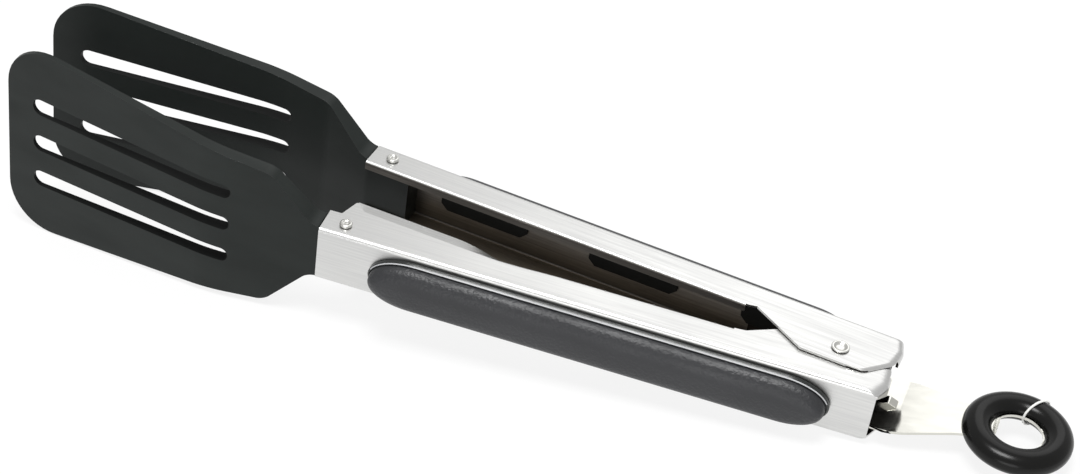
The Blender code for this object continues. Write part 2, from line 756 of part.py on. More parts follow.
def attach(obj, parent, finish, location=(0, 0, 0)):
    """Parent a finished object, place it and give it its material."""
    obj.parent = parent
    obj.location = location
    dress(obj, finish)


def make_arm_group(prefix, frame, height, edge, relief, upper_lip, nose):
    """Make everything that turns with one arm."""
    parts = [(make_arm(f"{prefix}_arm", height, edge, relief, upper_lip, nose), "brushed_steel"),
             (make_grip_base(f"{prefix}_grip_base"), "hard_grip"),
             (make_grip_pad(f"{prefix}_grip_pad"), "soft_grip"),
             (make_blade(f"{prefix}_blade", height), "black_nylon")]
    rivet = make_rivet(f"{prefix}_head_rivet", HEAD_RIVET_RADIUS, HEAD_RIVET_CAP, HEAD_RIVET_RISE,
                       height, HEAD_RIVET_DIMPLE, HEAD_RIVET_DIMPLE / 2)
    rivet.data.transform(Matrix.Translation((PIVOT_TO_RIVET, RIVET_OFFSET, 0)))
    parts.append((rivet, "rivet_steel"))
    for obj, finish in parts:
        if prefix == "far":
            mirrored(obj)
        attach(obj, frame, finish)


def world_points(objects):
    """World places of all the vertices of some objects, as evaluated."""
    bpy.context.view_layer.update()
    graph = bpy.context.evaluated_depsgraph_get()
    points = []
    for obj in objects:
        ready = obj.evaluated_get(graph)
        mesh = ready.to_mesh()
        points += [ready.matrix_world @ vert.co for vert in mesh.vertices]
        ready.to_mesh_clear()
    return points


def rest_tilt(points):
    """Tilt at which the front and the rear of the tongs touch the floor."""
    front = [p for p in points if p.x < -PIVOT_TO_RIVET]
    rear = [p for p in points if p.x > 0]
    low, high = 0, STEEPEST_TILT
    for _ in range(TILT_HALVINGS):
        tilt = (low + high) / 2
        lowest = [min(p.z * math.cos(tilt) - p.x * math.sin(tilt) for p in group)
                  for group in (front, rear)]
        if lowest[0] < lowest[1]:
            low = tilt
        else:
            high = tilt
    return tilt


def set_down(frame, objects):
    """Tilt the tongs onto the floor and centre their box over the origin."""
    frame.rotation_euler.y = rest_tilt(world_points(objects))
    points = world_points(objects)
    low = Vector([min(p[i] for p in points) for i in range(3)])
    high = Vector([max(p[i] for p in points) for i in range(3)])
    frame.location = (-(low.x + high.x) / 2, -(low.y + high.y) / 2, -low.z)


def main():
    """Build the tongs."""
    for obj in list(bpy.data.objects):
        bpy.data.objects.remove(obj)
    rest = empty("rest_frame")
    near_frame = empty("near_arm_frame", rest, math.pi + OPEN_ANGLE)
    far_frame = empty("far_arm_frame", rest, math.pi - OPEN_ANGLE)
    tab_frame = empty("pull_tab_frame", rest)
    make_arm_group("near", near_frame, NEAR_HEIGHT, NEAR_EDGE, 0, NEAR_LIP_DEPTH, True)
    make_arm_group("far", far_frame, FAR_HEIGHT, FAR_EDGE, FAR_RELIEF_DEPTH, FAR_LIP_DEPTH, False)
    attach(make_rivet("pivot_rivet", PIVOT_RIVET_RADIUS, PIVOT_RIVET_CAP, PIVOT_RIVET_RISE,
                      FAR_HEIGHT, PIVOT_DISH_RADIUS, PIVOT_DISH_DEPTH), rest, "rivet_steel")
    attach(make_spring("torsion_spring"), rest, "spring_steel")
    attach(make_lock_plate("lock_plate"), tab_frame, "polished_steel")
    attach(make_pull_ring("pull_ring"), tab_frame, "ring_rubber")
    attach(make_tag_loop("tag_loop"), tab_frame, "clear_filament")
    nodes = [obj for obj in bpy.data.objects if obj.type != "EMPTY"]
    set_down(rest, nodes)
    print(f"pivot at {tuple(rest.location)} m, tilted by {math.degrees(rest.rotation_euler.y)} deg")


main()
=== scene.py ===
"""Looks of a pair of locking kitchen tongs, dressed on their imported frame.

Two pressed steel arms turn about one hollow rivet. Each carries a grip in two
shots and a moulded turner blade. A flat plate with a rubber ring slides
between the arms' rear ends.

Pieces are drawn in millimetres in an arm's own directions: s runs from the
pivot towards the head, n from the middle plane outwards through the arm's
web, and z along the pivot. The middle pieces are drawn with x towards the
ring, y towards the far arm and z along the pivot. Each finished mesh is then
laid into the frame, in metres.
"""

import logging
import math
from collections.abc import Callable, Iterable
from dataclasses import dataclass
from enum import Enum, IntEnum

import bmesh
import bpy
from mathutils import Euler, Matrix, Vector


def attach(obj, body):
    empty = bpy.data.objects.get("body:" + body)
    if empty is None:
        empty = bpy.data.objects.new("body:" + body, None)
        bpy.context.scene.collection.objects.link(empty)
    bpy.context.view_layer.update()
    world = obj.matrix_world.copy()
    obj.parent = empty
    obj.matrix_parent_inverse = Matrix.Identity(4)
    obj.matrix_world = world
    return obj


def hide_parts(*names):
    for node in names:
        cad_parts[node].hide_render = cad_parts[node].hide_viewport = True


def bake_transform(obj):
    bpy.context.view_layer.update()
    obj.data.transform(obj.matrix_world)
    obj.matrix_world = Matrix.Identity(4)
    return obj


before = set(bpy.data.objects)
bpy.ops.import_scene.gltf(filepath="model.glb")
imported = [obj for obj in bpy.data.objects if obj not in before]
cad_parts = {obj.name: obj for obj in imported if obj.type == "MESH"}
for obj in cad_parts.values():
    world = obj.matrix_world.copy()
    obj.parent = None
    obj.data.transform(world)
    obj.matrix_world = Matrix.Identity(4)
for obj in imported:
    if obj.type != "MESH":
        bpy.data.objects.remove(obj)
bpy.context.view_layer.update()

log = logging.getLogger("tongs")

MM = 0.001
WELD = 1e-4

# Sizes that several pieces share, in millimetres
WEB = 14.8
SHEET = 0.8
GAP = 0.3
OVERRUN = 3.0
HEAD_RIVET = (160.0, 9.3)
HEAD_BORE = 1.7
PIVOT_BORE = 2.3
EYE_CENTRE = 59.2
EYE_LIFT = 1.2

# How cut faces, normals and wires are finished
FLAT_ANGLE = 0.2
NORMAL_WEIGHT = 60
WIRE_RESOLUTION = 4


class Side(Enum):
    """Which part of the tongs a piece belongs to."""

    NEAR = "near"
    FAR = "far"
    MIDDLE = "middle"


class Body(Enum):
    """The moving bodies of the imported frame."""

    PIVOT = "pivot"
    NEAR = "near_side"
    FAR = "far_side"
    TAB = "pull_tab"


class Slot(Enum):
    """The record's material slots."""

    ARM = "arm_steel"
    PLATE = "plate_steel"
    RIVET = "rivet_steel"
    SPRING = "spring_steel"
    BLADE = "blade_nylon"
    BASE = "grip_base"
    PAD = "grip_pad"
    RING = "ring_rubber"
    TAG = "tag_cord"


class Plane(Enum):
    """How a flat outline stands: seen along the pivot or square to the web."""

    PLAN = "plan"
    FACE = "face"


class ArmFace(IntEnum):
    """Which finish a face of an arm has."""

    SKIN = 0
    INSIDE = 1
    EARS = 2
    FOLDS = 3


class GripFace(IntEnum):
    """Which finish a face of a grip's base has."""

    RIM = 0
    BOSS = 1
    RIDGE = 2


class BladeFace(IntEnum):
    """Which finish a face of a blade has."""

    FLAT = 0
    SLOT = 1
    EDGE = 2


SIDE_BODY = {Side.NEAR: Body.NEAR, Side.FAR: Body.FAR}
STANDING = Matrix(((1, 0, 0, 0), (0, 0, 1, 0), (0, 1, 0, 0), (0, 0, 0, 1)))


@dataclass(frozen=True)
class RestPose:
    """Where the tongs' own directions lie in the frame while they rest."""

    pivot: tuple[float, float, float] = (103.19766, 0.0, 12.81999)
    tilt: float = 5.06865905
    opening: float = 3.36

    def turn(self, side: Side) -> Matrix:
        """Rotation from a side's own directions, before any mirroring.

        Args:
            side: Side to turn.

        Returns:
            The rotation.
        """
        angles = {Side.NEAR: 180 + self.opening, Side.FAR: 180 - self.opening, Side.MIDDLE: 0}
        return (Matrix.Rotation(math.radians(self.tilt), 4, "Y")
                @ Matrix.Rotation(math.radians(angles[side]), 4, "Z"))

    def matrix(self, side: Side) -> Matrix:
        """Matrix from a side's millimetres to the frame's metres.

        Args:
            side: Side to place.

        Returns:
            The matrix, which mirrors the far side.
        """
        place = Matrix.Scale(MM, 4) @ Matrix.Translation(self.pivot) @ self.turn(side)
        if side is Side.FAR:
            place = place @ Matrix.Scale(-1, 4, Vector((0, 1, 0)))
        return place


REST = RestPose()


# Workbench: outlines, sheets and cuts

def extend(bm: bmesh.types.BMesh, last: bmesh.types.BMVert,
           place: tuple[float, float, float]) -> bmesh.types.BMVert:
    """Draw a straight from a vertex.

    Args:
        bm: Mesh to draw in.
        last: Vertex that the straight leaves from.
        place: Where it ends.

    Returns:
        The vertex at its end.
    """
    fresh = bmesh.ops.extrude_vert_indiv(bm, verts=[last])["verts"][0]
    fresh.co = place
    return fresh


def swing(bm: bmesh.types.BMesh, last: bmesh.types.BMVert, centre: tuple[float, float, float],
          axis: tuple[float, float, float], angle: float, steps: int) -> bmesh.types.BMVert:
    """Draw a round bend from a vertex.

    Args:
        bm: Mesh to draw in.
        last: Vertex that the bend leaves from.
        centre: Centre of the bend.
        axis: Direction that it turns about.
        angle: Angle that it turns through, in radians.
        steps: Number of straight pieces.

    Returns:
        The vertex at its end.
    """
    made = bmesh.ops.spin(bm, geom=[last], cent=centre, axis=axis, angle=angle, steps=steps)
    return [item for item in made["geom_last"] if isinstance(item, bmesh.types.BMVert)][0]


class Outline:
    """A closed flat outline, drawn one straight or one bend after another."""

    def __init__(self, start: tuple[float, float]) -> None:
        """Start the outline at a point."""
        self.bm = bmesh.new()
        self.last = self.bm.verts.new((*start, 0))

    def to(self, *points: tuple[float, float]) -> "Outline":
        """Draw straights to some points.

        Args:
            points: Where the straights end, one after another.

        Returns:
            The outline itself.
        """
        for point in points:
            self.last = extend(self.bm, self.last, (*point, 0))
        return self

    def bend(self, centre: tuple[float, float], degrees: float, steps: int,
             stretch: tuple[float, float] = (1, 1)) -> "Outline":
        """Draw a round or oval bend from the last point.

        Args:
            centre: Centre of the bend.
            degrees: Angle that it turns through, positive from a to b.
            steps: Number of straight pieces.
            stretch: Factors that make it oval, about its centre.

        Returns:
            The outline itself.
        """
        old = self.last
        self.last = swing(self.bm, old, (*centre, 0), (0, 0, 1), math.radians(degrees), steps)
        if stretch != (1, 1):
            self.bm.verts.index_update()
            fresh = [v for v in self.bm.verts if v.index > old.index or v is self.last]
            bmesh.ops.scale(self.bm, vec=(*stretch, 1), verts=fresh,
                            space=Matrix.Translation(-Vector((*centre, 0))))
        return self

    def face(self) -> bmesh.types.BMFace:
        """Close the outline and fill it, unless that is done already.

        Returns:
            Its face.
        """
        if self.bm.faces:
            return self.bm.faces[:][0]
        bmesh.ops.remove_doubles(self.bm, verts=self.bm.verts, dist=WELD)
        ends = [v for v in self.bm.verts if len(v.link_edges) == 1]
        if ends:
            self.bm.edges.new(ends)
        made = bmesh.ops.contextual_create(self.bm, geom=self.bm.edges[:])
        return made["faces"][0]

    def prism(self, name: str, low: float, high: float, plane: Plane) -> bpy.types.Object:
        """Raise the outline to a closed prism.

        Args:
            name: Name of the prism.
            low: Distance at which it starts.
            high: Distance at which it ends.
            plane: How the outline stands.

        Returns:
            The prism.
        """
        face = self.face()
        bmesh.ops.translate(self.bm, verts=self.bm.verts, vec=(0, 0, low))
        made = bmesh.ops.extrude_face_region(self.bm, geom=[face])
        raised = [item for item in made["geom"] if isinstance(item, bmesh.types.BMVert)]
        bmesh.ops.translate(self.bm, verts=raised, vec=(0, 0, high - low))
        if plane is Plane.FACE:
            bmesh.ops.transform(self.bm, verts=self.bm.verts, matrix=STANDING)
        return make_object(name, self.bm)

    def lay(self, bm: bmesh.types.BMesh, place: Matrix) -> list[bmesh.types.BMEdge]:
        """Move the closed outline, without its face, into another mesh.

        Args:
            bm: Mesh that takes it.
            place: Matrix that places it there.

        Returns:
            Its edges in that mesh.
        """
        bmesh.ops.delete(self.bm, geom=[self.face()], context="FACES_ONLY")
        bmesh.ops.transform(self.bm, verts=self.bm.verts, matrix=place)
        mesh = bpy.data.meshes.new("outline")
        self.bm.to_mesh(mesh)
        self.bm.free()
        old = set(bm.edges)
        bm.from_mesh(mesh)
        bpy.data.meshes.remove(mesh)
        return [edge for edge in bm.edges if edge not in old]


def polygon(corners: Iterable[tuple[float, float, float]], steps: int) -> Outline:
    """Outline from corners, each rounded to its own radius.

    Args:
        corners: Place and radius of each corner.
        steps: Straight pieces in each rounded corner.

    Returns:
        The outline, already filled with its face.
    """
    corners = list(corners)
    outline = Outline(corners[0][:2])
    outline.to(*[corner[:2] for corner in corners[1:]])
    outline.face()
    bm = outline.bm
    for a, b, radius in corners:
        if not radius:
            continue
        bm.verts.ensure_lookup_table()
        vert = min(bm.verts, key=lambda v: (v.co - Vector((a, b, 0))).length)
        ways = [(edge.other_vert(vert).co - vert.co) for edge in vert.link_edges]
        reach = radius / math.tan(ways[0].angle(ways[1]) / 2)
        bmesh.ops.bevel(bm, geom=[vert], offset=reach, offset_type="OFFSET", segments=steps,
                        profile=0.5, affect="VERTICES", material=-1)
    return outline


def make_object(name: str, bm: bmesh.types.BMesh, close: bool = True) -> bpy.types.Object:
    """Turn a bmesh into a linked object.

    Args:
        name: Name of the object.
        bm: Mesh to use, freed afterwards.
        close: Whether it is a closed body whose faces are turned outwards.

    Returns:
        The new object.
    """
    if close:
        bmesh.ops.remove_doubles(bm, verts=bm.verts, dist=WELD)
        bmesh.ops.recalc_face_normals(bm, faces=bm.faces)
    mesh = bpy.data.meshes.new(name)
    bm.to_mesh(mesh)
    bm.free()
    obj = bpy.data.objects.new(name, mesh)
    bpy.context.scene.collection.objects.link(obj)
    return obj


def baked_mesh(obj: bpy.types.Object) -> bpy.types.Mesh:
    """What an object's curve or modifiers make, as a mesh.

    Args:
        obj: Object to look at.

    Returns:
        A new mesh.
    """
    bpy.context.view_layer.update()
    graph = bpy.context.evaluated_depsgraph_get()
    return bpy.data.meshes.new_from_object(obj.evaluated_get(graph))


def bake(obj: bpy.types.Object) -> None:
    """Put what an object's modifiers make into its own mesh.

    Args:
        obj: Object whose modifiers are used up.
    """
    mesh = baked_mesh(obj)
    old = obj.data
    obj.modifiers.clear()
    obj.data = mesh
    bpy.data.meshes.remove(old)


def combine(obj: bpy.types.Object, tool: bpy.types.Object, operation: str) -> None:
    """Cut, join or intersect an object with a tool.

    Args:
        obj: Object to change.
        tool: The other body, removed afterwards.
        operation: Name of the Boolean operation.
    """
    modifier = obj.modifiers.new(operation.title(), "BOOLEAN")
    modifier.operation = operation
    modifier.solver = "EXACT"
    modifier.object = tool
    bake(obj)
    bpy.data.objects.remove(tool)


def reshape(obj: bpy.types.Object, change: Callable[[bmesh.types.BMesh], None]) -> None:
    """Open an object's mesh, change it and put it back.

    Args:
        obj: Object to change.
        change: What is done to its mesh.
    """
    bm = bmesh.new()
    bm.from_mesh(obj.data)
    change(bm)
    bm.to_mesh(obj.data)
    bm.free()


def tidy_faces(bm: bmesh.types.BMesh) -> None:
    """Join the flat slivers that cutting leaves, so that bevels run clean.

    Args:
        bm: Mesh to tidy.
    """
    flat = math.radians(FLAT_ANGLE)
    bmesh.ops.remove_doubles(bm, verts=bm.verts, dist=WELD)
    bmesh.ops.dissolve_limit(bm, angle_limit=flat, verts=bm.verts, edges=bm.edges)
    bmesh.ops.dissolve_degenerate(bm, dist=WELD, edges=bm.edges)


def soften(obj: bpy.types.Object, width: float, segments: int, degrees: float) -> None:
    """Round every sharp edge.

    Args:
        obj: Object to round.
        width: How far the rounding reaches from the edge.
        segments: Number of strips in it.
        degrees: Angle from which an edge counts as sharp.
    """
    modifier = obj.modifiers.new("Round", "BEVEL")
    modifier.width = width
    modifier.segments = segments
    modifier.profile = 0.5
    modifier.limit_method = "ANGLE"
    modifier.angle_limit = math.radians(degrees)
    modifier.use_clamp_overlap = True
    modifier.miter_outer = "MITER_ARC"
    bake(obj)


def cylinder(name: str, centre: tuple[float, float], radius: float, reach: float,
             steps: int = 40) -> bpy.types.Object:
    """Long drill along the pivot's direction.

    Args:
        name: Name of the drill.
        centre: Place of its axis.
        radius: Radius of the hole.
        reach: How far it goes to either side of the middle.
        steps: Number of its sides.

    Returns:
        The drill.
    """
    bm = bmesh.new()
    bmesh.ops.create_cone(bm, cap_ends=True, segments=steps, radius1=radius, radius2=radius,
                          depth=2 * reach, matrix=Matrix.Translation((*centre, 0)))
    return make_object(name, bm)


def skin(name: str, bm: bmesh.types.BMesh,
         loops: list[list[bmesh.types.BMEdge]]) -> bpy.types.Object:
    """Join closed lines, one after another, to a closed body.

    Args:
        name: Name of the body.
        bm: Mesh that holds the lines.
        loops: Edges of each line.

    Returns:
        The body.
    """
    for low, high in zip(loops, loops[1:]):
        bmesh.ops.bridge_loops(bm, edges=low + high)
    bmesh.ops.contextual_create(bm, geom=loops[0])
    bmesh.ops.contextual_create(bm, geom=loops[-1])
    return make_object(name, bm)


def revolve(bm: bmesh.types.BMesh, steps: int) -> None:
    """Turn a profile once about the pivot's direction.

    Args:
        bm: Mesh that holds the profile.
        steps: Number of steps around.
    """
    bmesh.ops.spin(bm, geom=bm.verts[:] + bm.edges[:], cent=(0, 0, 0), axis=(0, 0, 1),
                   angle=2 * math.pi, steps=steps, use_merge=True)


def wire(name: str, route: list[Vector], radius: float, cyclic: bool = False) -> bpy.types.Object:
    """Round wire along a route, as a mesh.

    Args:
        name: Name of the wire.
        route: Points of its centre line.
        radius: Its radius.
        cyclic: Whether it closes on itself.

    Returns:
        The wire.
    """
    curve = bpy.data.curves.new(name, "CURVE")
    curve.dimensions = "3D"
    curve.bevel_depth = radius
    curve.bevel_resolution = WIRE_RESOLUTION
    curve.use_fill_caps = not cyclic
    spline = curve.splines.new("POLY")
    spline.points.add(len(route) - 1)
    for point, place in zip(spline.points, route):
        point.co = (*place, 1)
    spline.use_cyclic_u = cyclic
    drawn = bpy.data.objects.new(name + "_line", curve)
    bpy.context.scene.collection.objects.link(drawn)
    mesh = baked_mesh(drawn)
    bpy.data.objects.remove(drawn)
    bm = bmesh.new()
    bm.from_mesh(mesh)
    bpy.data.meshes.remove(mesh)
    return make_object(name, bm)


@dataclass(frozen=True)
class Piece:
    """What a finished piece is called, stands for and rides on."""

    name: str
    node: str
    side: Side
    body: Body
    slot: Slot

    @classmethod
    def of_side(cls, side: Side, name: str, node: str, slot: Slot) -> "Piece":
        """A piece of one arm, with the arm's word before its names."""
        word = side.value
        return cls(f"{word}_{name}", f"{word}_{node}", side, SIDE_BODY[side], slot)


def deliver(obj: bpy.types.Object, piece: Piece, materials: list[bpy.types.Material],
            sharp: float, weighted: bool = True) -> bpy.types.Object:
    """Lay a finished piece into the frame, dress it and hide the node it stands for.

    Args:
        obj: The piece, still in its side's millimetres.
        piece: Its name, node, side, body and slot.
        materials: Its materials, in the order of its faces' indices.
        sharp: Edges sharper than this many degrees stay sharp.
        weighted: Whether flat faces keep their normals beside round ones.

    Returns:
        The piece.
    """
    obj.name = piece.name
    obj.data.name = piece.name
    place = REST.matrix(piece.side)
    obj.data.transform(place)
    if place.determinant() < 0:
        obj.data.flip_normals()
    indices = [face.material_index for face in obj.data.polygons]
    obj.data.materials.clear()
    for material in materials:
        obj.data.materials.append(material)
    obj.data.polygons.foreach_set("material_index", indices)
    obj.data.shade_smooth()
    obj.data.set_sharp_from_angle(angle=math.radians(sharp))
    if weighted:
        modifier = obj.modifiers.new("Normals", "WEIGHTED_NORMAL")
        modifier.keep_sharp = True
        modifier.weight = NORMAL_WEIGHT
    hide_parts(piece.node)
    log.info("%s: %d faces", piece.name, len(obj.data.polygons))
    return obj


# Finishes

def linear(code: str) -> tuple[float, float, float, float]:
    """Turn an sRGB hex colour into the renderer's linear numbers."""
    parts = [int(code[i:i + 2], 16) / 255 for i in (1, 3, 5)]
    return (*[c / 12.92 if c <= 0.04045 else ((c + 0.055) / 1.055) ** 2.4 for c in parts], 1.0)


def add_node(tree: bpy.types.NodeTree, kind: str, inputs: dict | None = None,
             **fields: object) -> bpy.types.Node:
    """Add a node with its settings, input values and links.

    Args:
        tree: Node tree to add to.
        kind: Type of the node.
        inputs: Value or socket for each input, by its name or number.
        fields: Settings of the node itself.

    Returns:
        The node.
    """
    node = tree.nodes.new(kind)
    for field, value in fields.items():
        setattr(node, field, value)
    for key, value in (inputs or {}).items():
        if isinstance(value, bpy.types.NodeSocket):
            tree.links.new(value, node.inputs[key])
        else:
            node.inputs[key].default_value = value
    return node


@dataclass(frozen=True)
class Finish:
    """A surface: its colours and how it takes the light."""

    name: str
    colour: str
    shade: str
    roughness: float
    metallic: float = 0.0
    ior: float = 1.5
    specular: float = 0.5
    sheen: float = 0.0
    spread: float = 0.08
    relief: float = 0.02

    def start(self) -> tuple[bpy.types.Material, bpy.types.Node]:
        """Make the material and set what is the same all over it.

        Returns:
            The material and its shader.
        """
        material = bpy.data.materials.new(self.name)
        material.use_nodes = True
        shader = material.node_tree.nodes["Principled BSDF"]
        shader.inputs["Metallic"].default_value = self.metallic
        shader.inputs["IOR"].default_value = self.ior
        shader.inputs["Specular IOR Level"].default_value = self.specular
        shader.inputs["Sheen Weight"].default_value = self.sheen
        material.diffuse_color = linear(self.colour)
        return material, shader

    def grain(self, tree: bpy.types.NodeTree, size: tuple[float, float, float], side: Side,
              detail: float = 2.0) -> bpy.types.Node:
        """Noise whose patches have a real size along s, n and z of a side.

        Args:
            tree: Node tree to add to.
            size: Size of a patch in millimetres.
            side: Side whose directions the patches follow.
            detail: Octaves of finer noise in each patch.

        Returns:
            The noise node.
        """
        place = add_node(tree, "ShaderNodeTexCoord")
        mapping = add_node(tree, "ShaderNodeMapping", {
            "Vector": place.outputs["Object"],
            "Location": Vector(REST.pivot) * MM,
            "Rotation": REST.turn(side).to_euler("XYZ"),
            "Scale": Vector(size) * MM}, vector_type="TEXTURE")
        return add_node(tree, "ShaderNodeTexNoise", {
            "Vector": mapping.outputs["Vector"], "Scale": 1.0, "Detail": detail})

    def vary(self, tree: bpy.types.NodeTree, shader: bpy.types.Node, span: bpy.types.Node,
             smoothest: float, height: bpy.types.Node, bump: float) -> None:
        """Let one pattern vary colour and roughness, and another raise the surface.

        Args:
            tree: Node tree of the material.
            shader: Its shader.
            span: Pattern from 0, where the shade shows, to 1, where the colour does.
            smoothest: Roughness where the pattern is 1.
            height: Pattern that raises the surface.
            bump: How strongly it does.
        """
        colour = add_node(tree, "ShaderNodeMix", {
            0: span.outputs[0], 6: linear(self.shade), 7: linear(self.colour)},
            data_type="RGBA")
        rough = add_node(tree, "ShaderNodeMapRange", {
            "Value": span.outputs[0], "To Min": self.roughness + self.spread,
            "To Max": smoothest})
        raised = add_node(tree, "ShaderNodeBump", {
            "Height": height.outputs["Fac"], "Strength": bump, "Distance": self.relief * MM})
        tree.links.new(colour.outputs[2], shader.inputs["Base Color"])
        tree.links.new(rough.outputs[0], shader.inputs["Roughness"])
        tree.links.new(raised.outputs["Normal"], shader.inputs["Normal"])


@dataclass(frozen=True)
class SteelFinish(Finish):
    """Rolled or brushed steel, with streaks along the sheet."""

    metallic: float = 1.0
    streak: tuple[float, float, float] = (28.0, 0.55, 0.55)
    smudge: tuple[float, float, float] = (34.0, 12.0, 12.0)
    streak_share: float = 0.65
    smudge_share: float = 0.35
    band: tuple[float, float] = (0.35, 0.65)
    bump: float = 0.5

    def material(self, side: Side) -> bpy.types.Material:
        """Build the material with its streaks along one side's direction.

        Args:
            side: Side that wears it.

        Returns:
            The material.
        """
        material, shader = self.start()
        tree = material.node_tree
        streaks = self.grain(tree, self.streak, side, 3.0)
        smudges = self.grain(tree, self.smudge, side)
        mixed = add_node(tree, "ShaderNodeMath", {
            0: streaks.outputs["Fac"], 1: self.streak_share}, operation="MULTIPLY")
        total = add_node(tree, "ShaderNodeMath", {
            0: smudges.outputs["Fac"], 1: self.smudge_share, 2: mixed.outputs[0]},
            operation="MULTIPLY_ADD")
        span = add_node(tree, "ShaderNodeMapRange", {
            "Value": total.outputs[0], "From Min": self.band[0], "From Max": self.band[1]})
        self.vary(tree, shader, span, self.roughness - self.spread / 2, streaks, self.bump)
        return material


@dataclass(frozen=True)
class MouldedFinish(Finish):
    """Moulded plastic or rubber, with a fine grain and faint flow marks."""

    grain_size: float = 0.45
    flow: tuple[float, float, float] = (30.0, 9.0, 9.0)
    band: tuple[float, float] = (0.3, 0.7)
    bump: float = 0.6

    def material(self, side: Side) -> bpy.types.Material:
        """Build the material with its flow marks along one side's direction.

        Args:
            side: Side that wears it.

        Returns:
            The material.
        """
        material, shader = self.start()
        tree = material.node_tree
        grit = self.grain(tree, (self.grain_size,) * 3, side, 3.0)
        marks = self.grain(tree, self.flow, side)
        span = add_node(tree, "ShaderNodeMapRange", {
            "Value": marks.outputs["Fac"], "From Min": self.band[0], "From Max": self.band[1]})
        self.vary(tree, shader, span, self.roughness - self.spread, grit, self.bump)
        return material


# Stainless sheet, brushed along the arm: fine bright lines that run its whole
# length. The real lines are a tenth of a millimetre apart and are drawn
# coarser here, so that they still show.
BRUSHED_STAINLESS = SteelFinish("brushed_stainless_sheet", "#dfdfdd", "#d2d2d1", 0.32)
# The inside of the pressing keeps the mill's dull, slightly brown skin, darkened further as
# painted shade.
MILL_SKIN_AND_PAINTED_SHADE = SteelFinish("mill_skin_and_painted_shade_steel", "#b3a99b", "#9c9284", 0.42, spread=0.1)
# Between the ears the steel is painted near black: painted shade for the dark hollow.
PAINTED_SHADE_EARS_STAINLESS = SteelFinish("painted_shade_ears_stainless", "#2f2b27", "#26231f", 0.45, spread=0.1)
# The hems' folded faces are painted a dull grey band below the bright bend: painted shade for the
# dark gap they face.
PAINTED_SHADE_FOLD_STAINLESS = SteelFinish("painted_shade_fold_stainless", "#77736e", "#66625d", 0.4, spread=0.1)
# The plate is tumbled bright, like a soft mirror, with hardly any lines.
BRIGHT_STAINLESS = SteelFinish("tumbled_stainless_plate", "#d9d8d1", "#d3d2cb", 0.11,
                               streak=(9.0, 3.0, 3.0), spread=0.02, relief=0.001)
# Rivets are headed from soft steel wire and plated: warmer and brighter.
PLATED_RIVET = SteelFinish("nickel_plated_rivet", "#e2e2de", "#d6d5d0", 0.26,
                           streak=(0.9, 0.9, 0.9), spread=0.06, relief=0.006)
# Drawn spring wire is greyer, with draw lines along it.
SPRING_WIRE = SteelFinish("drawn_spring_wire", "#8d8d8f", "#77777a", 0.32,
                          streak=(1.2, 0.4, 0.4), spread=0.06, relief=0.01)
# Glass-filled nylon: black with a green cast, satin, with a very fine spark grain.
BLADE_NYLON = MouldedFinish("moulded_black_nylon", "#191e1c", "#141917", 0.38, ior=1.53,
                            specular=0.22)
# Its rounded edges are smoother and painted lighter: each shows as a thin painted highlight line.
PAINTED_HIGHLIGHT_EDGE_NYLON = MouldedFinish("painted_highlight_edge_nylon", "#262b29", "#212624", 0.3, ior=1.53,
                           specular=0.6)
# The slots' walls are duller and painted blacker: painted shade in the slots.
PAINTED_SHADE_SLOT_NYLON = MouldedFinish("painted_shade_slot_nylon", "#0f1110", "#0c0d0d", 0.55, ior=1.53,
                           specular=0.12)
# The hard grip base is polypropylene, glossier than the pad.
HARD_GRIP = MouldedFinish("moulded_black_polypropylene", "#202322", "#1b1d1d", 0.2,
                          ior=1.49, specular=0.5, relief=0.004, spread=0.03)
# Its bosses inside the arm are left dull and painted darker as painted shade in the channel, so
# they read as flat black bars.
PAINTED_SHADE_BOSS_GRIP = MouldedFinish("painted_shade_boss_polypropylene", "#151614", "#111210", 0.6,
                          ior=1.49, specular=0.15, relief=0.004, spread=0.03)
# The ridge's upward faces are painted light grey: a painted highlight that draws a light line
# around the pad's upper side.
PAINTED_HIGHLIGHT_RIDGE_GRIP = MouldedFinish("painted_highlight_ridge_polypropylene", "#b9babc", "#a5a6a8", 0.4,
                          ior=1.49, specular=0.6, relief=0.004, spread=0.05)
# The pad is a soft elastomer, dull and faintly blue. Its pebble is drawn
# coarser than the real one, so that it still breaks up the highlight.
SOFT_GRIP = MouldedFinish("overmoulded_elastomer", "#26272a", "#202124", 0.4, ior=1.51,
                          specular=0.5, sheen=0.06, grain_size=1.0, relief=0.4)
# The ring is moulded rubber: nearly black, with soft satin highlights.
RING_RUBBER = MouldedFinish("moulded_satin_rubber", "#0d0d0c", "#0a0a09", 0.24, ior=1.52,
                            specular=0.22, relief=0.006, spread=0.04)
# The tag's thread is milky nylon filament.
TAG_FILAMENT = MouldedFinish("milky_nylon_filament", "#f2f2ef", "#e8e8e4", 0.3, ior=1.53,
                             specular=0.5, grain_size=1.5, relief=0.004)


# Pressed arms

def smooth(share: float) -> float:
    """Ease a share in and out."""
    return share * share * (3 - 2 * share)


